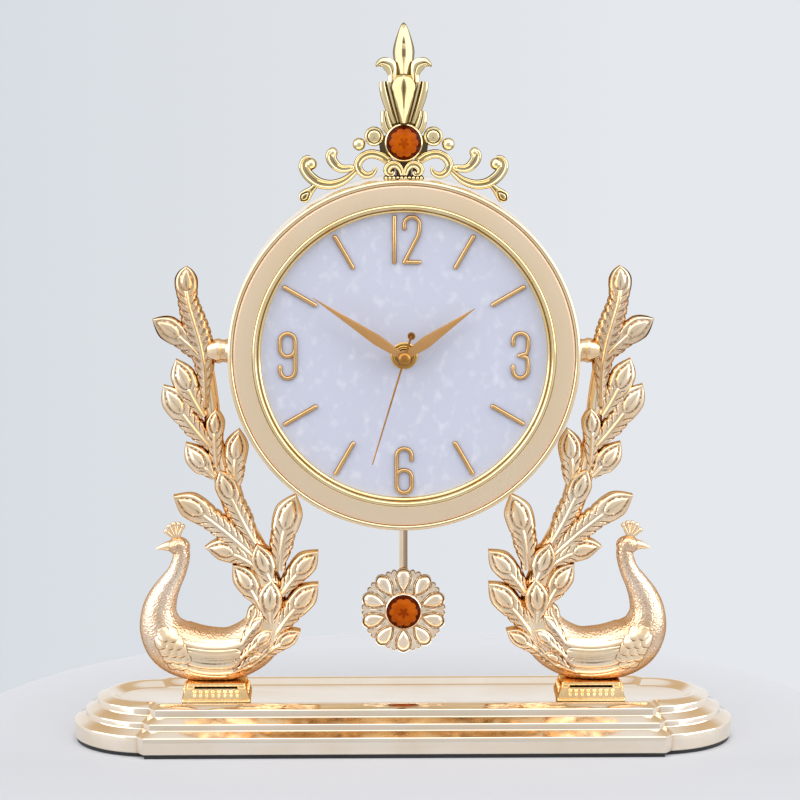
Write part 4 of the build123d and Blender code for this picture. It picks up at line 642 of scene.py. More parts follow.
# Inset and height of the base's foot, of a step's nosing, of a tread's inner end and of the panel's edge
BASE_FOOT = ((1.0, 2.0), (0.5, 2.0), (0.1, 2.4), (0.0, 3.0))
NOSING = ((0.0, 0.0), (0.1, 0.3), (0.25, 0.5), (0.5, 0.67))
TREAD_END = ((-0.4, -0.7), (-0.25, -0.58), (-0.1, -0.35), (0.0, 0.0))
PANEL_EDGE = ((15.9, 23.15), (16.5, 23.38), (17.2, 23.5), (18.2, 23.4), (19.4, 22.95), (20.6, 22.1),
              (22.6, 20.9), (23.2, 20.6), (PANEL_INSET, PANEL_Z))
base_levels = list(BASE_FOOT)
for step, height, profile in ((0, 9.8, NOSING), (1, 13.2, TREAD_END), (1, 15.2, NOSING),
                              (2, 18.55, TREAD_END), (2, 21.0, NOSING)):
    base_levels += [(step * STEP_INSET + inset, height + rise) for inset, rise in profile]
plinth = Shape()
plinth.skin([base_ring(inset, z) for inset, z in base_levels + list(PANEL_EDGE)])
piece("base_plinth_plated", plinth, (BASE_PLATING,), "base_plinth", sharp=28)


# Pedestals
def pedestal(middle):
    """Foot, sloping band, neck painted black as the shade under the cap, between four corner blocks, and cap
    under a peacock.
    """
    form = Shape()

    def slab(inset, low, high, eased, mark=0):
        wide, deep = PEDESTAL_HALF_WIDTH - inset, PEDESTAL_HALF_DEPTH - inset
        form.block((middle - wide, -deep, PANEL_Z + low), (middle + wide, deep, PANEL_Z + high), eased, mark)

    slab(0.0, 0.0, 1.5, 0.5)
    corners = ((-1, -1), (1, -1), (1, 1), (-1, 1))
    form.skin([[(middle + sx * (PEDESTAL_HALF_WIDTH - inset), sy * (PEDESTAL_HALF_DEPTH - inset), PANEL_Z + z)
                for sx, sy in corners] for inset, z in ((0.5, 1.4), (0.6, 1.9), (2.0, 5.6), (2.3, 6.4))])
    # Painted shade: the neck takes the black finish for the shadow in the slot under the cap
    slab(5.5, 6.2, 7.6, 0.2, 1)
    for sx, sy in corners:
        x, y, half = middle + sx * 12.6, sy * 9.6, 2.2
        form.block((x - half, y - half, PANEL_Z + 6.2), (x + half, y + half, PANEL_Z + 7.6), 0.2)
    slab(2.4, 7.4, 9.0, 0.6)
    return form


# A bead over a short column, repeated round each pedestal
bead = Shape()
bead.ball((0, 0, 1.1), (1.25, 1.0, 1.15), 12)
bead.upright(((0.5, -2.0), (0.85, -1.7), (0.85, -0.2), (0.6, 0.1)), 10)
column_and_bead = to_object("column_and_bead", bead)
for side, word in SIDES:
    middle = side * PEDESTAL_X
    piece("pedestal_steps_" + word, pedestal(middle), (PEDESTAL_GOLD, BLACK), "pedestal_" + word,
          sharp=30)
    places = Shape()
    bead_z = PANEL_Z + BEAD_RISE
    places.add([(middle + 3.0 * k - 10.5, face * 12.4, bead_z) for k in range(8) for face in (-1, 1)]
               + [(middle + end * 15.4, 3.3 * k - 6.6, bead_z) for k in range(5) for end in (-1, 1)], [])
    grown("pedestal_beads_" + word, places, AT_PLACES,
          {"Small piece": column_and_bead, "Finish": PEDESTAL_GOLD}, "pedestal_" + word)
bpy.data.objects.remove(column_and_bead)

# Peacocks: line of the neck, body and tail with half width and half depth, in the bird's own x and z
BIRD_LINE = ((-17.6, 77.0, 3.9, 3.6), (-16.9, 71.5, 4.2, 4.0), (-19.2, 63.5, 4.6, 4.4),
             (-23.0, 57.0, 5.8, 5.4), (-26.5, 50.0, 7.4, 7.0), (-28.3, 42.5, 9.0, 8.6),
             (-27.0, 34.5, 11.4, 10.4), (-22.0, 27.5, 13.6, 12.0), (-14.0, 23.3, 14.2, 13.0),
             (-3.5, 21.3, 13.9, 13.0), (8.0, 22.0, 13.2, 12.0), (18.5, 27.5, 12.6, 10.5),
             (25.5, 37.5, 10.5, 8.5), (26.5, 49.5, 8.2, 7.0), (24.5, 60.5, 7.0, 6.0),
             (20.0, 73.5, 6.0, 5.2), (13.5, 86.5, 5.5, 4.8), (7.5, 99.5, 5.0, 4.5), (3.0, 113.5, 4.5, 4.2),
             (0.0, 130.5, 4.2, 4.0), (-2.0, 150.5, 4.0, 3.8), (-4.5, 168.5, 3.6, 3.6),
             (-9.0, 186.5, 2.8, 3.2), (-12.5, 200.5, 2.2, 2.8))
BIRD_RUN = through(BIRD_LINE, 5)
BIRD_FLOOR = 9.0
BIRD_STEPS = 32
# Rings of the bird that make its rounded body, and the rings from the head down that are stippled
BODY_RINGS = slice(20, 80)
STIPPLED_RINGS = 58
# Tail feathers: root x z, tip x z, half width, bow, half depth
FEATHERS = ((-4.0, 167.5, -30.0, 189.3, 6.2, -2.0, 3.9), (-5.0, 141.5, -18.6, 169.6, 6.3, 0.8, 5.1),
            (-2.0, 126.5, -24.8, 156.8, 6.6, 0.8, 5.5), (10.0, 103.5, 12.2, 135.0, 6.0, 1.0, 5.3),
            (0.0, 111.5, -14.2, 128.2, 6.0, 0.6, 5.7), (20.0, 70.5, -20.6, 101.6, 6.8, -2.0, 6.3),
            (31.5, 64.5, 39.9, 102.2, 7.2, 2.0, 6.1), (20.0, 66.5, -5.3, 75.8, 5.8, -2.4, 6.7),
            (32.0, 52.5, 50.8, 73.7, 6.0, 0.8, 6.5), (22.0, 46.5, 8.3, 67.3, 6.0, -1.2, 7.7),
            (29.0, 32.5, 50.7, 57.4, 6.5, 1.0, 7.4), (22.0, 20.5, 41.8, 33.4, 4.6, 0.8, 8.0))
# Feathers along the middle of the tail, whose tips lie on other feathers
MIDDLE_FEATHERS = ((1.0, 116.5, 1.0, 145.3, 4.8, 0.8, 5.9), (20.0, 78.5, 2.7, 115.1, 6.0, 1.0, 7.2),
                   (28.0, 58.5, 20.8, 78.4, 6.0, 0.6, 8.3), (27.0, 38.5, 27.9, 60.6, 6.4, 0.6, 9.1))
# Share of its depth that a free feather loses towards its tip
TIP_THINNING = 0.4
# Topmost feather, which bends past the side post: places of its midrib in x and z, and its sizes
TOP_FEATHER = ((-4.3, 146.0), (-4.3, 156.0), (-4.8, 167.0), (-6.6, 177.5), (-9.4, 187.6), (-12.2, 197.5),
               (-13.2, 206.5), (-12.9, 215.3))
TOP_LENGTH = 71.0
TOP_HALF = 5.6
TOP_DEPTH = 4.6
TOP_SWELL = 0.4
BARB_PITCH = 4.0
# Small feathers and wing feathers that lie on the body: root x z, tip x z, half width, bow, lift
COVERTS = ((12.9, 28.9, 23.6, 42.0, 3.6, 0.5, 1.5), (12.8, 21.9, 28.2, 35.0, 3.8, 0.5, 1.9),
           (11.3, 16.4, 23.5, 23.4, 3.2, 0.4, 1.6), (15.6, 33.0, 20.6, 47.6, 3.2, 0.3, 1.2),
           (17.6, 17.2, 31.6, 27.6, 3.0, 0.4, 1.3), (7.0, 13.6, 19.2, 17.6, 2.6, 0.4, 1.4))
COVERT_PITCH = 2.9
WING = ((-15.0, 30.2, 13.4, 29.6, 2.7, -1.4, 0.7), (-15.6, 26.0, 12.6, 24.8, 2.7, -1.7, 1.0),
        (-15.8, 21.9, 10.6, 20.1, 2.6, -1.9, 1.2), (-14.8, 18.2, 8.6, 15.9, 2.3, -1.9, 1.1),
        (-12.4, 14.7, 5.4, 12.4, 1.9, -1.2, 0.9))
SCALES = ((-25.4, 33.6), (-21.4, 33.4), (-26.8, 30.0), (-22.8, 29.8), (-18.8, 29.8), (-24.8, 26.2),
          (-20.8, 26.0), (-16.8, 26.2), (-23.0, 22.6), (-19.0, 22.4), (-15.2, 22.6), (-20.8, 19.2),
          (-16.8, 19.0))
CROWN_ROOT = (-19.4, 79.2)
CROWN_TIPS = ((-24.6, 83.6), (-22.9, 86.0), (-20.6, 87.2), (-18.2, 87.2), (-16.2, 86.0))


def body_depth(x, z):
    """Half depth of the bird's rounded body at a place seen from the front."""
    near = [(min(hypot(s[0] - x, s[1] - z) / s[2], 0.97), s[3]) for s in BIRD_RUN[BODY_RINGS]]
    least = min(near)[0]
    weights = [(bell(share - least, 0.08), deep * sqrt(1 - share * share)) for share, deep in near]
    return sum(w * deep for w, deep in weights) / sum(w for w, deep in weights)


def plume(half, length, pitch):
    """Outline, relief and painted shade lines of a feather: midrib, slanted slits in its edges and a pointed
    eye.
    """
    eye_long, eye_wide = 1.0 * half, 0.55 * half
    eye_at = length - 0.46 * half - eye_long
    widest = length - 1.45 * half

    def slit(along, s):
        share = ((along - abs(s) * 1.1) / pitch) % 1.0
        return share, bell(min(share, 1 - share) * pitch, 0.5) * ease(0.16 * half, 0.36 * half, abs(s))

    def barbed(along):
        return 1 - ease(eye_at - 1.25 * eye_long, eye_at - 0.8 * eye_long, along)

    def eye_edge(along):
        a = (along - eye_at) / eye_long
        return eye_wide * sqrt(max(0.0, 1 - a * a)) * (1 - 0.42 * max(a, 0.0)), a

    def outline(v):
        along = v * length
        if along > widest:
            return half * max(0.02, 1 - ((along - widest) / (length - widest)) ** 1.75)
        wide = half * (1 - 0.16 * ease(0.3, 1.8, (widest - along) / half)) * (0.5 + 0.5 * ease(0.0, 0.35, v))
        return wide * (1 - 0.10 * slit(along, wide)[1] * barbed(along))

    def height(v, u, s):
        along = v * length
        share, cut = slit(along, s)
        edge, a = eye_edge(along)
        relief = barbed(along) * (0.5 * (share - 0.5) * ease(0.2 * half, 0.6 * half, abs(s)) - 0.6 * cut
                                  + 0.6 * bell(s, 0.5))
        if abs(a) < 1 and abs(s) < edge:
            relief += 1.15 * sqrt(1 - a * a) * sqrt(1 - (s / edge) ** 2)
        eye_line = 0.35 * bell(abs(s) - edge, 0.45) if abs(a) < 1 else 0.0
        return relief - 0.7 * u * u - 3.0 * u ** 10 - eye_line

    # Painted shade in the slits, beside the midrib and round the eye, and a painted dark reflection down the
    # middle of the eye
    def tone(v, u, s):
        along = v * length
        edge, a = eye_edge(along)
        lines = barbed(along) * (0.95 * slit(along, s)[1] + 0.45 * bell(abs(s) - 0.95, 0.28))
        if abs(a) < 1:
            lines += 0.55 * bell(abs(s) - edge, 0.5) + 0.3 * bell(s, 0.3) * bell(a, 0.5)
        return lines
    return outline, height, tone


def peacock(side):
    """Neck, body and tail with feathers on both faces; the right bird mirrors the left."""
    form = Shape()

    def place(x, y, z):
        return (side * (PEDESTAL_X - x), y, PANEL_Z + z)

    def body_leaf(spine, outline, relief, rows, columns, tone=None, edge=0.75):
        for face in (-1, 1):
            blade(form, spine, outline, lambda v, u, s, x, z: face * (body_depth(x, z) + relief(v, u, s)),
                  lambda v, u, s, x, z: face * (body_depth(x, z) - 1.6), rows, columns, place, edge, tone)

    def feather(spine, length, half, deep, thinning, swell=0.0):
        outline, relief, tone = plume(half, length, BARB_PITCH)

        def front(v, u, s, x, z):
            return deep * (1 - thinning * ease(0.4, 1.0, v)) + relief(v, u, s)

        rows = max(24, int(length / (0.48)))
        # Painted shade along the feather's outline and in its lines
        blade(form, spine, lambda v: outline(v) * (1 + swell * bell(v - 0.5, 0.2)), lambda *at: -front(*at),
              front, rows, 22, place, 0.5, tone)

    line = [row[:2] for row in BIRD_RUN]
    rings = []
    for k, (x, z, wide, deep) in enumerate(BIRD_RUN):
        dx, dz = heading(line, k)
        rings.append([place(x + dz * wide * cos(a), deep * sin(a), max(z - dx * wide * cos(a), BIRD_FLOOR))
                      for a in turns(BIRD_STEPS)])
    form.skin(rings, 1)
    smooth_from = STIPPLED_RINGS * BIRD_STEPS
    form.marks[smooth_from:] = [0] * (len(form.marks) - smooth_from)
    midrib = path_leaf([(x, z, 1.0) for x, z in TOP_FEATHER])[0]
    feather(midrib, TOP_LENGTH, TOP_HALF, TOP_DEPTH, TIP_THINNING, TOP_SWELL)
    for feathers, thinning in ((FEATHERS, TIP_THINNING), (MIDDLE_FEATHERS, 0.0)):
        for x0, z0, x1, z1, half, bow, deep in feathers:
            feather(bowed((x0, z0), (x1, z1), bow), hypot(x1 - x0, z1 - z0), half, deep, thinning)
    # Painted shade: small feathers, wing feathers and scales darken along their outlines, the small feathers
    # also in their lines and the scales at their lower ends
    for x0, z0, x1, z1, half, bow, lift in COVERTS:
        outline, relief, tone = plume(half, hypot(x1 - x0, z1 - z0), COVERT_PITCH)
        body_leaf(bowed((x0, z0), (x1, z1), bow), outline, lambda v, u, s: lift + 0.7 * relief(v, u, s),
                  34, 14, tone)
    for x0, z0, x1, z1, half, bow, lift in WING:
        def wing_width(v):
            tip = sqrt(max(0.0, 1 - ((v - 0.86) / 0.14) ** 2)) if v > 0.86 else 1.0
            return half * tip * (0.75 + 0.25 * ease(0.0, 0.25, v))

        def vane(v, u, s):
            return lift * (0.4 + 0.6 * v) * (1 - 0.3 * u) - 0.35 * u ** 6 - 0.3 * bell(s - 0.3 * half, 0.28)
        body_leaf(bowed((x0, z0), (x1, z1), bow), wing_width, vane, 34, 10, edge=1.0)
    for x, z in SCALES:
        body_leaf(bowed((x - 1.2, z + 3.4), (x + 1.0, z - 3.6), 0.0),
                  lambda v: 3.2 * sqrt(max(0.0, 1 - (2 * v - 1) ** 4)) + 0.05,
                  lambda v, u, s: 0.2 + 1.5 * v * (1 - 0.55 * u * u) - 0.8 * v ** 8, 16, 10,
                  lambda v, u, s: ease(0.86, 0.97, v), 1.0)
    # Head, beak, eyes and crown
    form.ball(place(-18.3, 0, 76.2), (5.7, 4.3, 4.6), 28, 1)
    beak = [place(-21.6 - 8.0 * k / 10, 0, 76.2 - 1.7 * (k / 10) ** 2) for k in range(11)]
    form.tube(beak, lambda t: 2.9 * (1 - t) ** 0.8 + 0.2, oval(16, 0.85))
    for face in (-1, 1):
        form.ball(place(-20.0, face * 3.6, 77.0), (1.3, 0.7, 0.7), 12)
    root_x, root_z = CROWN_ROOT
    for x, z in CROWN_TIPS:
        stalk = [place(root_x + (x - root_x) * k / 8, 0, root_z + (z - root_z) * k / 8) for k in range(9)]
        form.tube(stalk, lambda t: 1.1 - 0.25 * t, oval(10))
        form.ball(place(x, 0, z), (1.25, 1.2, 1.25), 12)
    return form


# Side posts: change of radius and distance from the drum's end
POST_START = CASE_RADIUS - 0.9
POST_END = PEDESTAL_X + 3.0
POST_COLLAR = ((-0.6, 0.0), (0.0, 0.4), (0.0, 1.6), (-0.5, 2.2), (-0.7, 4.0), (-0.3, 5.4), (0.0, 6.0),
               (-0.2, 7.4), (-1.4, POST_END - POST_START))
for side, word in SIDES:
    piece("peacock_%s_casting" % word, peacock(side), (CAST_GOLD, STIPPLED_GOLD),
          "peacock_" + word, sharp=50)
    post = Shape()
    post.skin([[(side * (POST_START + along), (POST_RADIUS + change) * cos(a),
                 CASE_Z + (POST_RADIUS + change) * sin(a)) for a in turns(32)]
               for change, along in POST_COLLAR])
    piece("side_post_%s_collar" % word, post, (CAST_GOLD,), "side_post_" + word)


# Case
def drum():
    """Drum with a rounded front rim, a flange behind the bezel and the slot for the pendulum rod."""
    profile = ((FLANGE_BORE, FLANGE_FRONT), (CASE_BORE, FLANGE_FRONT), (CASE_BORE, -24.3),
               (CASE_BORE + 0.25, -24.8), (CASE_BORE + 0.7, CASE_FRONT), (CASE_RADIUS - 1.2, CASE_FRONT),
               (CASE_RADIUS - 0.5, -24.75), (CASE_RADIUS - 0.12, -24.3), (CASE_RADIUS, -23.6),
               (CASE_RADIUS, SLOT_FRONT), (CASE_RADIUS, SLOT_BACK), (CASE_RADIUS, 21.0),
               (CASE_RADIUS - 0.3, 21.7), (CASE_RADIUS - 1.0, CASE_BACK), (CASE_BORE, CASE_BACK),
               (CASE_BORE, SLOT_BACK), (CASE_BORE, SLOT_FRONT), (CASE_BORE, FLANGE_BACK),
               (FLANGE_BORE, FLANGE_BACK))
    count = len(profile)
    outer, inner = profile.index((CASE_RADIUS, SLOT_FRONT)), profile.index((CASE_BORE, SLOT_BACK))
    first, last = (round((180 + way * SLOT_TURN) / 360 * CASE_STEPS) for way in (-1, 1))
    faces = []
    for i in range(CASE_STEPS):
        j = (i + 1) % CASE_STEPS
        for k in range(count):
            n = (k + 1) % count
            if k not in (outer, inner) or not first <= i < last:
                faces.append((i * count + k, i * count + n, j * count + n, j * count + k))
    for i in range(first * count, last * count, count):
        for a, b in ((outer, inner + 1), (outer + 1, inner)):
            faces.append((i + a, i + count + a, i + count + b, i + b))
    for i in (first * count, last * count):
        faces.append((i + outer, i + outer + 1, i + inner, i + inner + 1))
    form = Shape()
    form.add([(r * sin(a), y, CASE_Z + r * cos(a)) for a in turns(CASE_STEPS) for r, y in profile], faces)
    return form


def ring_piece(name, profile, finish, stands_for, steps, sharp=40):
    """A closed profile of radius and depth turned about the middle of the dial."""
    form = Shape()
    form.turned(profile, steps=steps, loop=True)
    piece(name, form, (finish,), stands_for, sharp=sharp)


piece("case_drum_rim", drum(), (CASE_GOLD,), "case_drum", sharp=50)
ring_piece("bezel_face_band", (
    (BEZEL_INNER, FLANGE_FRONT), (BEZEL_INNER, -24.3), (BEZEL_INNER + 0.3, -24.6),
    (BEZEL_OUTER - 1.2, -24.6), (BEZEL_OUTER - 0.4, -24.4), (BEZEL_OUTER, -24.0),
    (BEZEL_OUTER, FLANGE_FRONT)),
    CHAMPAGNE, "bezel_face", CASE_STEPS)
ring_piece("inner_bezel_steps", (
    (RING_INNER, FLANGE_BACK), (RING_INNER, -21.4), (RING_INNER + 0.12, -22.2), (RING_INNER + 0.45, -22.75),
    (RING_INNER + 0.95, -23.0), (RING_INNER + 1.4, -22.85), (RING_INNER + 1.6, -22.6),
    (RING_INNER + 1.75, -23.4), (RING_INNER + 2.0, -24.2), (RING_INNER + 2.45, -24.75),
    (RING_INNER + 3.0, -25.0), (RING_OUTER - 0.6, -24.95), (RING_OUTER - 0.15, -24.6), (RING_OUTER, -24.0),
    (RING_OUTER, FLANGE_FRONT), (RING_SEAT, FLANGE_FRONT), (RING_SEAT, FLANGE_BACK)),
    RING_GOLD, "inner_bezel", CASE_STEPS, 35)
ring_piece("dial_pearl", (
    (DIAL_HOLE, DIAL_BACK), (DIAL_HOLE, DIAL_FRONT), (DIAL_RADIUS, DIAL_FRONT), (DIAL_RADIUS, DIAL_BACK)),
    PEARL, "dial", ROUND)

# Hour marks: section of a stroke in width, height and tone, with painted shade along both edges, and its
# rounded end in share of size and reach
STROKE = ((-1.0, 0.0, 1.0), (-0.97, 0.4, 0.8), (-0.75, 0.76, 0.25), (-0.4, 0.95, 0.0), (0.0, 1.0, 0.0),
          (0.4, 0.95, 0.0), (0.75, 0.76, 0.25), (0.97, 0.4, 0.8), (1.0, 0.0, 1.0))
STROKE_END = ((0.15, 0.98), (0.6, 0.8), (0.88, 0.45))


def ridge(form, path, half):
    """A rounded raised stroke along a path in x and z on the dial."""
    rings = []

    def ring_at(k, ahead, share):
        dx, dz = heading(path, k)
        x, z = path[k][0] + dx * ahead * half, path[k][1] + dz * ahead * half
        rings.append([(x - dz * half * share * w, DIAL_FRONT - MARK_HEIGHT * (0.35 + 0.65 * share) * h,
                       z + dx * half * share * w) for w, h, tone in STROKE])

    for share, reach in STROKE_END:
        ring_at(0, -reach, share)
    for k in range(len(path)):
        ring_at(k, 0.0, 1.0)
    for share, reach in STROKE_END[::-1]:
        ring_at(len(path) - 1, reach, share)
    form.skin(rings, tones=[tone for w, h, tone in STROKE])


bar = Shape()
ridge(bar, [(0, BAR_INNER + 1.0), (0, (BAR_INNER + BAR_OUTER) / 2), (0, BAR_OUTER - 1.0)], BAR_WIDTH / 2)
grown("hour_bar_ridges", bar, ROUND_A_CENTRE,
      {"Count": 12, "First turn": radians(30), "Gap after": 3, "Centre": (0, 0, CASE_Z * MM),
       "Finish": MARK_GOLD}, "hour_bars")

HALF_STROKE = NUMERAL_STROKE / 2
FIGURE_X = NUMERAL_WIDTH / 2 - HALF_STROKE
FIGURE_Z = NUMERAL_HEIGHT / 2 - HALF_STROKE
BEND_Z = FIGURE_Z - FIGURE_X


def bend(z, first, last):
    """Round part of a numeral about a middle at height z, between two angles."""
    angles = [radians(first + (last - first) * k / 14) for k in range(15)]
    return [(FIGURE_X * cos(a), z + FIGURE_X * sin(a)) for a in angles]


HOOKED_TOP = [(-FIGURE_X, BEND_Z - 2.0), (-FIGURE_X, BEND_Z - 1.0)] + bend(BEND_Z, 180, 0)
UPPER_BOW = HOOKED_TOP + [(FIGURE_X, BEND_Z - 3.6), (FIGURE_X - 0.5, 1.0), (-0.6, 0.0)]
SIX = ([(-x, z) for x, z in HOOKED_TOP] + [(-FIGURE_X, 0)] + bend(-BEND_Z, 180, 360)
       + [(FIGURE_X, -FIGURE_X)] + bend(0.3 - FIGURE_X, 10, 168))
FIGURES = {
    "1": [[(0, -FIGURE_Z), (0, 0), (0, FIGURE_Z)]],
    "2": [HOOKED_TOP + [(FIGURE_X, BEND_Z - 3.0), (FIGURE_X - 0.7, 1.6), (-FIGURE_X, -FIGURE_Z)],
          [(-FIGURE_X, -FIGURE_Z), (0, -FIGURE_Z), (FIGURE_X, -FIGURE_Z)]],
    "3": [UPPER_BOW, [(x, -z) for x, z in UPPER_BOW]],
    "6": [SIX],
    "9": [[(-x, -z) for x, z in SIX]],
}
numerals = Shape()
for figure, x, z in (("1", -4.7, NUMERAL_CIRCLE), ("2", 3.7, NUMERAL_CIRCLE), ("3", NUMERAL_CIRCLE, 0),
                     ("6", 0, -NUMERAL_CIRCLE), ("9", -NUMERAL_CIRCLE, 0)):
    for stroke in FIGURES[figure]:
        ridge(numerals, [(x + a, CASE_Z + z + b) for a, b in stroke], HALF_STROKE)
piece("numeral_ridges", numerals, (MARK_GOLD,), "numerals", sharp=60)


# Hands
def on_dial(turn, reach):
    """Place in x and z at a clockwise turn in degrees and a reach from the middle of the dial."""
    return (reach * sin(radians(turn)), CASE_Z + reach * cos(radians(turn)))


def lance(form, turn, length, width, front, back):
    """A hand that widens from its hub and runs out to a point, with eased sides."""
    root = 1.4

    def outline(v):
        if v < 0.3:
            return root + (width / 2 - root) * ease(-0.05, 0.3, v)
        return (width / 2) * (1 - (v - 0.3) / 0.7) + 0.12
    blade(form, bowed((0, CASE_Z), on_dial(turn, length), 0.0), outline,
          lambda v, u, s, x, z: front + 0.2 * abs(u) ** 6, lambda v, u, s, x, z: back, 30, 6, as_is)


# Turn, length, width, front and back of each hand, and the radius and bore of its hub
for word, turn, length, width, front, back, hub, bore in (
        ("hour", HOUR_TURN, 41.5, 5.6, -26.5, -25.9, 3.4, 2.0),
        ("minute", MINUTE_TURN, 53.0, 5.0, -29.8, -29.2, 2.8, 1.2)):
    hand = Shape()
    lance(hand, turn, length, width, front, back)
    hand.turned(((bore, back), (bore, front + 0.1), (bore + 0.2, front - 0.1), (hub - 0.25, front - 0.1),
                 (hub, front + 0.15), (hub, back)), steps=48, loop=True)
    piece(word + "_hand_lance", hand, (HAND_GOLD,), word + "_hand", word, 20)

NEEDLE_TAIL = -11.4
NEEDLE_TIP = 54.0
needle = Shape()
blade(needle, bowed(on_dial(SECOND_TURN, NEEDLE_TAIL), on_dial(SECOND_TURN, NEEDLE_TIP), 0.0),
      lambda v: 0.55 - 0.25 * v, lambda v, u, s, x, z: -32.0 + 0.15 * abs(u),
      lambda v, u, s, x, z: -31.4, 20, 4, as_is)
needle.turned(((0.1, -31.5), (0.9, -31.5), (1.0, -31.9), (1.3, -32.3), (1.7, -32.2), (1.9, -31.8),
               (1.9, -31.4), (0.1, -31.4)), on_dial(SECOND_TURN, NEEDLE_TAIL), 28)
needle.turned(((0.05, -33.4), (1.6, -33.25), (2.6, -32.8), (3.1, -32.2), (3.2, -31.4), (3.0, -31.2),
               (0.9, -31.2)), steps=48)
piece("second_hand_needle", needle, (NEEDLE_GOLD,), "second_hand", "second", 35)
ring_piece("dial_washer_disc", (
    (4.0, -20.4), (4.0, -20.9), (4.3, -21.05), (5.3, -21.05), (5.45, -21.2), (6.1, -21.2), (6.45, -20.95),
    (6.45, -20.4)), BRASS, "dial_washer", 64)
nut = Shape()
nut.turned(((4.0, -21.2), (4.0, -23.0), (4.2, -23.2), (4.8, -23.2), (5.2, -22.8), (5.2, -21.2)),
           steps=64, loop=True)
thread = [(3.92, -24.4)]
for k in range(4):
    thread += [(3.98, -24.3 + 0.3 * k), (4.1, -24.2 + 0.3 * k), (3.96, -24.05 + 0.3 * k)]
nut.turned(thread + [(3.92, -23.0)], steps=64, loop=True)
piece("dial_nut_ring", nut, (BRASS,), "dial_nut")


# Gems
def gem(z, back):
    """Round stone with scalloped facets and painted reflection: a dark crown round a bright lobed heart."""
    form = Shape()

    def ring_of(share, radius_at):
        return [(radius_at(i) * sin(a), back - share * GEM_HEIGHT, z + radius_at(i) * cos(a))
                for i, a in enumerate(turns(40))]

    def scallop(i):
        return GEM_GIRDLE * (0.74 + 0.11 * abs(sin(pi * i / 4)) ** 0.7)

    crown = ring_of(0.7, scallop)
    # Painted reflection: the girdle up to the scalloped crown takes the dark amber, and the facets from the
    # crown to the top the bright amber
    form.skin([ring_of(0.0, lambda i: GEM_GIRDLE * 0.9), ring_of(0.25, lambda i: GEM_GIRDLE),
               ring_of(0.35, lambda i: GEM_GIRDLE), crown], 1)
    form.skin([crown, ring_of(0.92, lambda i: GEM_TABLE),
               ring_of(1.0, lambda i: GEM_TABLE * (0.25 + 0.35 * abs(sin(pi * i / 8))))])
    # Painted reflection: the lobed top takes the middle amber
    form.marks[-1] = 2
    return form


def gem_setting(form, z, front, back):
    """Polished rim that holds a stone."""
    outer, inner = SETTING_OUTER, SETTING_INNER
    form.turned(((0.3, back), (outer - 0.5, back), (outer, back - 0.5), (outer, front + 0.9),
                 (outer - 0.3, front + 0.25), (outer - 0.75, front), (inner + 0.3, front + 0.15),
                 (inner, front + 0.6), (inner, front + 1.5), (0.3, front + 1.5)), (0, z), 72)


# Crest: rows of x, z and half width for its leaves and scrolls, from the top of the drum
SPEAR = ((0, 49.0, 3.4), (0, 52.0, 3.9), (0, 56.0, 4.7), (0, 59.9, 5.2), (0, 62.5, 4.95), (0, 65.2, 4.3),
         (0, 68.3, 3.3), (0, 71.3, 2.2), (0, 73.5, 1.2), (0, 74.55, 0.12))
BULB = ((0, 26.5, 2.1), (0, 29.6, 2.7), (0, 33.0, 3.6), (0, 37.5, 4.7), (0, 40.5, 5.4), (0, 43.2, 6.0),
        (0, 45.3, 5.8), (0, 47.4, 4.9), (0, 49.3, 3.3), (0, 50.5, 0.6))
HOOK = ((5.2, 46.0, 2.4), (5.3, 50.0, 2.5), (6.6, 53.7, 3.4), (9.6, 55.3, 2.6), (12.0, 54.8, 1.5),
        (13.4, 53.4, 0.2))
SHOULDER = ((3.4, 26.5, 2.4), (5.4, 33.0, 3.4), (7.2, 39.5, 3.9), (8.3, 44.0, 3.6), (8.6, 46.3, 3.2))
LOWER_LEAF = ((5.0, 20.0, 2.2), (7.8, 24.5, 2.7), (8.9, 28.5, 2.4), (9.2, 32.0, 1.9))
DROP = ((43.0, -4.2, 1.4), (44.8, -6.0, 1.7), (46.4, -7.6, 2.4), (48.0, -9.2, 2.9), (49.2, -10.5, 2.5),
        (50.1, -11.5, 0.3))
# Webs: sheets painted dark behind the leaves and scrolls, standing in for the shade seen in the gaps between
# them
SIDE_SHADE_WEB = ((7.6, 8.0, 1.6), (8.8, 11.0, 2.2), (9.6, 15.5, 2.2), (10.4, 20.0, 1.6))
MIDDLE_SHADE_WEB = ((0, 20.0, 7.0), (0, 26.0, 8.0), (0, 32.0, 6.4), (0, 38.0, 5.6))
FOOT_SHADE_WEB = ((0, -0.6, 8.2), (0, 2.0, 8.0), (0, 5.0, 6.4), (0, 8.0, 5.0))
C_SCROLL = ((6.6, 7.2, 2.0), (10.7, 10.1, 2.2), (15.5, 11.3, 2.2), (19.4, 10.1, 2.1), (21.8, 7.4, 2.05),
            (22.1, 5.0, 2.0), (20.6, 2.3, 1.9), (17.9, 0.9, 1.7), (15.2, 1.7, 1.4), (13.8, 3.5, 1.0),
            (13.9, 4.9, 0.5))
S_SCROLL = ((22.8, 3.6, 1.3), (27.5, -0.7, 1.8), (32.3, -3.0, 2.15), (36.5, -3.6, 2.35), (41.2, -2.7, 2.6),
            (45.2, 0.0, 2.7), (47.7, 3.2, 2.65), (48.4, 6.0, 2.5), (47.2, 8.3, 2.2), (45.2, 8.6, 1.9))
SIDE_HOOK = ((25.0, 4.6, 1.6), (29.3, 4.1, 2.0), (32.3, 5.3, 2.3), (34.6, 8.0, 2.6), (35.2, 10.4, 2.65),
             (34.4, 12.0, 2.6))
ACANTHUS = ((0.8, 1.2, 1.2), (1.6, 4.2, 1.5), (3.8, 6.3, 1.9), (6.6, 5.8, 2.0), (8.1, 3.6, 1.9),
            (7.2, 1.6, 1.5), (5.4, 1.6, 1.2), (5.0, 3.0, 0.9))
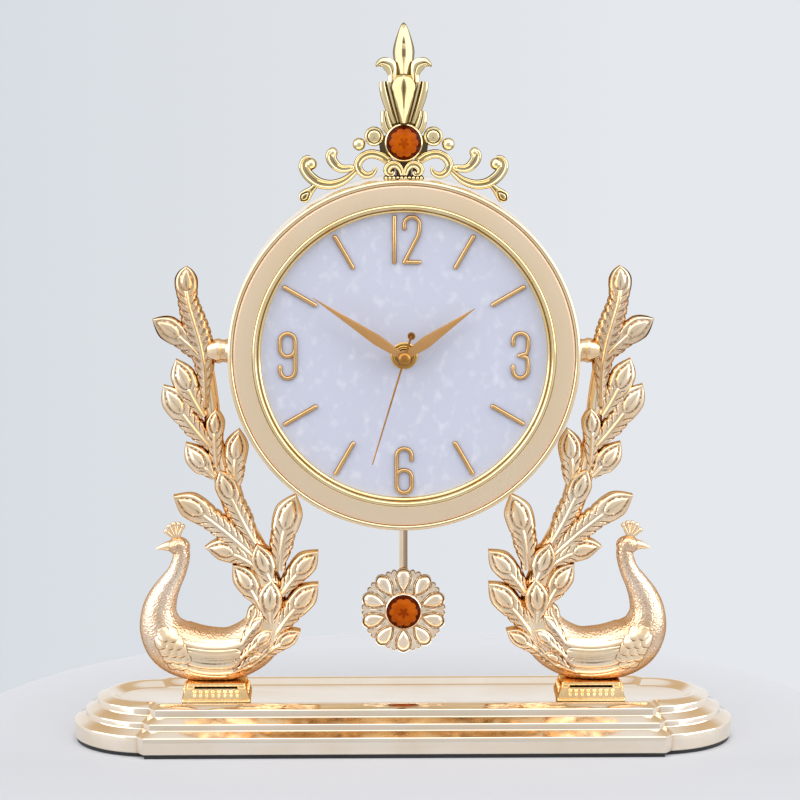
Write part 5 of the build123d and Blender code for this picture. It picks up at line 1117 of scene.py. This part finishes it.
# Scrolls with the depth of each, negative to the front, and the place and radius of a knob at its end
SCROLLS = ((C_SCROLL, 0.0, None), (S_SCROLL, 0.0, (44.9, 6.4, 2.9)), (SIDE_HOOK, -0.6, (34.4, 12.0, 2.5)),
           (ACANTHUS, -2.6, None))
# Rosette beside the gem: radius and depth, and its place
ROSETTE = ((0.1, 3.4), (4.0, 3.4), (4.7, 2.4), (4.7, -2.6), (4.5, -3.6), (4.0, -4.0), (3.5, -3.8),
           (3.2, -3.1), (2.9, -3.3), (1.9, -3.7), (0.1, -3.9))
ROSETTE_AT = (14.3, 19.8)
FOOT_HALF = 9.8
FOOT_RADIUS = 85.42


def crest():
    """Spear, hooks, side leaves and bulb over a gem setting, with scrolls that run out over the drum."""
    form = Shape()

    def at(x, y, z):
        return (x, CREST_Y + y, CREST_Z + z)

    # A leaf with painted shade along its outline and where its tone asks for it
    def leaf(rows, relief, tone, deep=CREST_HALF, sides=(-1, 1)):
        spine, outline = path_leaf(rows)
        for side in sides:
            blade(form, spine, outline, lambda v, u, s, x, z: -(deep + relief(v, u)),
                  lambda v, u, s, x, z: deep + relief(v, u), 44, 20,
                  lambda x, y, z: at(side * x, y, z), 1.0, lambda v, u, s: tone(v, u))

    def spear(v, u):
        rib = 2.6 * max(0.0, 1 - (abs(u) / 0.82) ** 1.2) * (1 - 0.35 * v) * (1 - ease(0.74, 0.92, v))
        return rib - 0.4 - 0.5 * bell(u, 0.07) * (1 - ease(0.5, 0.66, v))

    def bulb(v, u):
        dome = sqrt(max(0.0, 1 - (max(0.0, v - 0.72) / 0.28) ** 2))
        return (2.4 * (1 - abs(u) ** 1.2) + 1.2 * sqrt(max(0.0, 1 - u * u))) * dome + 1.8 * (1 - v)

    def loop(v, u):
        return bell(hypot(u / 0.56, (v - 0.62) / 0.27) - 1, 0.2)

    def flat(v, u):
        return 0.0

    # Painted shade and dark reflection: a light shade over the spear and the bulb, dark lines down the middle
    # of them and of the side leaves, and a ring round the loop of the drop
    leaf(SPEAR, spear, lambda v, u: 0.42 + bell(u, 0.08) * (0.3 + 0.5 * bell(v - 0.34, 0.14))
         * (1 - ease(0.5, 0.66, v)) + 0.25 * ease(0.8, 0.9, v), sides=(1,))
    leaf(BULB, bulb, lambda v, u: 0.40 + bell(u, 0.08) * (0.3 + 0.5 * bell(v - 0.55, 0.1))
         * (1 - ease(0.7, 0.78, v)), sides=(1,))
    leaf(HOOK, lambda v, u: 1.4 * (1 - u * u) - 0.6 * bell(u, 0.16),
         lambda v, u: 0.85 * bell(u, 0.13) * ease(0.1, 0.3, v) * (1 - ease(0.6, 0.8, v)))
    leaf(SHOULDER, lambda v, u: 1.4 * sqrt(1.04 - (2 * abs(u) - 1) ** 2) - 0.4 * bell(u - 0.5, 0.1),
         lambda v, u: (bell(u, 0.12) * (0.5 + 0.5 * ease(0.35, 0.55, v)) + 0.5 * bell(u - 0.5, 0.1))
         * (1 - ease(0.9, 1.0, v)), 1.8)
    leaf(LOWER_LEAF, lambda v, u: 1.5 * sqrt(1.03 - u * u) - 0.5 * bell(u, 0.15),
         lambda v, u: 0.9 * bell(u, 0.13), 2.6)
    leaf(DROP, lambda v, u: 0.9 * (1 - u ** 4) - 0.7 * loop(v, u), lambda v, u: 0.9 * loop(v, u), 1.7)
    # Painted shade: dark webs behind the leaves and scrolls
    leaf(SIDE_SHADE_WEB, flat, lambda v, u: 0.8, 1.0)
    for web in (MIDDLE_SHADE_WEB, FOOT_SHADE_WEB):
        leaf(web, flat, lambda v, u: 0.9, 1.0, (1,))
    for rows, depth, knob in SCROLLS:
        run = through(rows, 6)
        for side in (-1, 1):
            form.tube([at(side * x, depth, z) for x, z, half in run],
                      lambda share: run[round(share * (len(run) - 1))][2], BAND)
            form.ball(at(side * run[0][0], depth, run[0][1]), (run[0][2] * 0.96,) * 3, 16)
            if knob:
                x, z, radius = knob
                form.ball(at(side * x, depth, z), (radius, radius * 1.1, radius), 24)
    for side in (-1, 1):
        middle = (side * ROSETTE_AT[0], CREST_Z + ROSETTE_AT[1])
        form.turned([(r, CREST_Y + y) for r, y in ROSETTE], middle, 40)
        form.ball(at(side * 21.6, -1.0, 16.0), (3.1, 3.1, 3.1), 24)
    # Foot on the drum, painted dark as shade under the leaves above it, with its dentils
    low = [FOOT_HALF * (k / 6 - 1) for k in range(13)]
    plan = [(x, sqrt(FOOT_RADIUS ** 2 - x * x) - CASE_RADIUS) for x in low]
    plan += [(FOOT_HALF, 0.0), (9.2, 0.9), (-9.2, 0.9), (-FOOT_HALF, 0.0)]
    form.skin([[at(x, y, z) for x, z in plan] for y in (-4.5, 4.5)], tones=[1.0] * len(plan))
    for k in range(10):
        form.ball(at(-8.6 + 1.9 * k, -4.4, -0.1), (0.8, 0.6, 0.75), 12)
    gem_setting(form, CREST_GEM_Z, -9.6, CREST_Y + 3.0)
    return form


piece("crest_casting", crest(), (CREST_GOLD,), "crest", sharp=45)
piece("crest_gem_cut", gem(CREST_GEM_Z, -8.0), STONE, "crest_gem", sharp=12)

# Pendulum
PETALS = 10
SECTOR = 2 * pi / PETALS
# Back of the bob: share of its radius and depth of a rim, a shallow dish and a boss
BOB_BACK = ((1.0, 0.5), (0.98, 0.9), (0.88, 0.9), (0.84, 0.3), (0.36, 0.3), (0.32, 0.8), (0.0, 0.9))


def flower_sector():
    """One petal of the bob with half a fan on each side, as relief over the disc."""
    def rim(turn):
        side = abs(turn) / (SECTOR / 2)
        if side < 0.5:
            return 21.5 - 1.7 * (side / 0.5) ** 2
        return 20.9 - 1.3 * ((side - 0.75) / 0.25) ** 2

    def height(r, turn):
        s = abs(r * turn)
        if r < 17.2:
            wide = 0.5 + 3.5 * sin(pi / 2 * max(0.0, (r - 9.0) / 8.2)) ** 1.05
            inside = (wide - s) * 0.93
        else:
            inside = 4.0 - hypot(s, (r - 17.2) * 4.0 / 4.2)
        if inside <= 0:
            flute = abs(sin(6 * pi * abs(turn) / SECTOR + pi / 2))
            relief = (0.1 + 0.16 * flute) * ease(10.5, 14.0, r) - 0.3 * bell(inside, 0.25)
        elif inside < 0.6:
            relief = 0.6 * sin(pi * inside / 0.6) ** 0.8
        else:
            relief = 1.9 * sqrt(1 - (1 - min(1.0, (inside - 0.6) / 3.2)) ** 2)
        return relief - 0.09 * (r - BOB_HUB)

    across, out = ((48, 36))
    points = []
    for i in range(across + 1):
        turn = -SECTOR / 2 + SECTOR * i / across
        edge = rim(turn)
        rows = []
        for k in range(out + 1):
            r = BOB_HUB + (edge - BOB_HUB) * k / out
            rows.append((r, -2.0 - height(r, turn) * (1 if k < out else 0.3)))
        rows += [(share * edge, y) for share, y in BOB_BACK]
        points += [(r * sin(turn), y, r * cos(turn)) for r, y in rows]
    wide = out + 1 + len(BOB_BACK)
    form = Shape()
    form.add(points, [(a, a + 1, a + wide + 1, a + wide) for i in range(across)
                      for a in range(i * wide, i * wide + wide - 1)])
    return form


grown("bob_petals", flower_sector(), ROUND_A_CENTRE,
      {"Count": PETALS, "First turn": 0.0, "Gap after": 1000, "Centre": (0, 0, BOB_Z * MM),
       "Finish": BOB_GOLD}, "bob_flower", "pendulum", 50)
holder = Shape()
gem_setting(holder, BOB_Z, -4.7, -1.0)
piece("bob_setting", holder, (BOB_GOLD,), "bob_flower", "pendulum")
piece("bob_gem_cut", gem(BOB_Z, -3.1), STONE, "bob_gem", "pendulum", 12)
low, high = (v[2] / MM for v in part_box("pendulum_rod"))
# Section of the rod in x, y and tone; the tone paints shade on the right facet
ROD_RING = ((-ROD_HALF, ROD_BACK, 0.0), (-ROD_HALF, ROD_Y + 0.6, 0.0), (-1.8, ROD_Y + 0.4, 0.0),
            (0.0, ROD_Y, 0.0), (0.1, ROD_Y, 0.45), (1.8, ROD_Y + 0.15, 0.75), (ROD_HALF, ROD_Y + 0.4, 0.3),
            (ROD_HALF, ROD_BACK, 0.0))
rod = Shape()
rod.skin([[(x, y, z) for x, y, tone in ROD_RING] for z in (low, (low + high) / 2, high)],
         tones=[tone for x, y, tone in ROD_RING])
piece("pendulum_rod_ridge", rod, (BOB_GOLD,), "pendulum_rod", "pendulum", 12)

# Back cover: growth of its framed window and radius of its rim, each with a depth
WINDOW_FRAME = ((0.0, COVER_FRONT), (0.0, 21.7), (0.5, CASE_BACK), (2.6, CASE_BACK), (2.9, 21.5),
                (3.5, 21.5), (3.8, CASE_BACK))
COVER_RIM = ((70.0, CASE_BACK), (70.4, 21.4), (71.6, 21.4), (72.0, CASE_BACK), (81.9, CASE_BACK),
             (82.5, 21.8), (COVER_RADIUS, 21.3), (COVER_RADIUS, COVER_FRONT))


def back_cover():
    """Black plate with a framed window onto the movement and a sunk channel near its rim."""
    def window(a, grow):
        tall = WINDOW_TOP if cos(a) > 0 else WINDOW_LOW
        return min((WINDOW_HALF + grow) / max(abs(sin(a)), 1e-6), (tall + grow) / max(abs(cos(a)), 1e-6))

    rings = [[(window(a, grow), y, a) for a in turns(144)] for grow, y in WINDOW_FRAME]
    rings += [[(r, y, a) for a in turns(144)] for r, y in COVER_RIM]
    form = Shape()
    form.skin([[(r * sin(a), y, CASE_Z + r * cos(a)) for r, y, a in ring] for ring in rings + rings[:1]],
              capped=False)
    return form


def cross_head():
    """Pan head of a screw with a cross cut into it, facing back."""
    radius = 2.6

    def top(x, z, r):
        cut = min(abs(x), abs(z)) < 0.32 and max(abs(x), abs(z)) < 1.7
        return (x, 0.9 - 0.5 * (r / radius) ** 4 - (0.5 if cut else 0.0), z)

    form = Shape()
    form.skin([[(radius * sin(a), 0.0, radius * cos(a)) for a in turns(48)]]
              + [[top(r * sin(a), r * cos(a), r) for a in turns(48)]
                 for r in (radius, 2.45, 2.2, 1.9, 1.6, 1.3, 1.0, 0.7, 0.4, 0.1)])
    return to_object("cross_head", form)


piece("back_cover_plate", back_cover(), (BLACK,), "back_cover", sharp=30)
screw_head = cross_head()
places = Shape()
places.add([(COVER_SCREW_CIRCLE * cos(a), CASE_BACK - 0.25, CASE_Z + COVER_SCREW_CIRCLE * sin(a))
            for a in (radians(45 + 90 * quarter) for quarter in range(4))], [])
grown("back_cover_screw_heads", places, AT_PLACES, {"Small piece": screw_head, "Finish": STEEL},
      "back_cover_screws")
bpy.data.objects.remove(screw_head)

# Nodes that keep their own mesh
SLOT_FINISH = {"base_plating": BASE_PLATING, "case_gold": CASE_GOLD, "cast_gold": CAST_GOLD,
               "champagne": CHAMPAGNE, "ring_gold": RING_GOLD, "pearl": PEARL,
               "mark_gold": MARK_GOLD, "hand_gold": HAND_GOLD, "amber": AMBER_PAINTED_BRIGHT,
               "black": BLACK, "steel": STEEL, "brass": BRASS, "wheel": WHEEL, "copper": COPPER,
               "board": BOARD, "magnet": MAGNET, "rubber": RUBBER, "cell": CELL}
for part in frame["record"]["subparts"]:
    kept = frame["nodes"].get(part["node"])
    if kept:
        kept.data.materials.clear()
        kept.data.materials.append(SLOT_FINISH[part["material_slot"]])

# Floor, in millimetres like the pieces, then lamps and camera in metres
turntable = Shape()
turntable.upright(((TABLE_RADIUS - 2.0, -16.0), (TABLE_RADIUS, -14.0), (TABLE_RADIUS, -1.2),
                   (TABLE_RADIUS - 0.4, -0.4), (TABLE_RADIUS - 1.2, 0.0)), 160)
table_top = to_object("table_top", turntable, pale_table())
smoothed(table_top.data, 40)
LIGHT_AIM = (0, 0, 0.2)
CAMERA_PLACE = (-0.0247, -1.4136, 0.3717)
CAMERA_AIM = (-0.0017, -0.0011, 0.1696)


def hung(name, data, place, aim):
    """Puts a lamp or the camera at a place, looking at its aim."""
    obj = bpy.data.objects.new(name, data)
    obj.location = place
    obj.rotation_euler = (Vector(aim) - Vector(place)).to_track_quat("-Z", "Y").to_euler()
    bpy.context.scene.collection.objects.link(obj)
    return obj


for name, place, size, power in (("left_softbox", (-1.25, -0.45, 0.7), (1.5, 1.4), 11.0),
                                 ("right_softbox", (1.25, -0.40, 0.7), (1.5, 1.4), 12.0),
                                 ("overhead_softbox", (0, -0.75, 1.5), (2.2, 1.3), 11.0)):
    lamp = bpy.data.lights.new(name, "AREA")
    lamp.shape = "RECTANGLE"
    lamp.size, lamp.size_y = size
    lamp.energy = power
    hung(name, lamp, place, LIGHT_AIM)


def studio():
    """Pale room for the eye, the metal and the glass, with a dark stand at the front, and soft
    light for the rest."""
    world = bpy.data.worlds.new("studio")
    bpy.context.scene.world = world
    world.use_nodes = True
    tree = world.node_tree
    light = tree.nodes["Background"]
    feed(tree, light, {"Color": tint(238, 240, 244), "Strength": 0.55})
    way = node(tree, "ShaderNodeTexCoord", out="Generated")
    x, y, z = node(tree, "ShaderNodeSeparateXYZ", {0: way}).node.outputs

    def both(a, b):
        return maths(tree, "MULTIPLY", a, b)

    ahead = ranged(tree, y, -0.6, -0.3, 1.0, 0.0)
    below = both(ranged(tree, z, -0.36, -0.26, 0.0, 0.94), ranged(tree, z, -0.08, -0.02, 1.0, 0.0))
    narrow = ranged(tree, maths(tree, "ABSOLUTE", x), 0.03, 0.09, 1.0, 0.0)
    room = mixed(tree, ranged(tree, y, -0.98, -0.75, 0.3, 0.0), tint(243, 244, 247), tint(120, 114, 106))
    room = mixed(tree, ranged(tree, z, -0.45, -0.12, 0.3, 0.0), room, tint(150, 130, 104))
    high = both(ranged(tree, z, 0.4, 0.6), ranged(tree, z, 0.85, 0.97, 0.9, 0.0))
    room = mixed(tree, both(ranged(tree, y, 0.25, 0.5), high), room, tint(214, 188, 150))
    shiny = mixed(tree, both(both(ahead, below), narrow), room, tint(48, 40, 28))
    backdrop = mixed(tree, ranged(tree, x, -0.13, 0.10), tint(216, 221, 227), tint(229, 232, 236))
    path = node(tree, "ShaderNodeLightPath").node.outputs
    shown = path["Is Camera Ray"]
    seen = node(tree, "ShaderNodeBackground", {"Color": mixed(tree, shown, shiny, backdrop)})
    for kind in ("Is Glossy Ray", "Is Transmission Ray"):
        shown = maths(tree, "MAXIMUM", shown, path[kind])
    blend = node(tree, "ShaderNodeMixShader", {0: shown, 1: light.outputs[0], 2: seen})
    feed(tree, tree.nodes["World Output"], {"Surface": blend})


studio()
lens = bpy.data.cameras.new("camera")
lens.lens = 130.5
lens.sensor_width = 36.0
lens.clip_end = 20.0
bpy.context.scene.camera = hung("camera", lens, CAMERA_PLACE, CAMERA_AIM)
bpy.context.scene.view_settings.view_transform = "Standard"
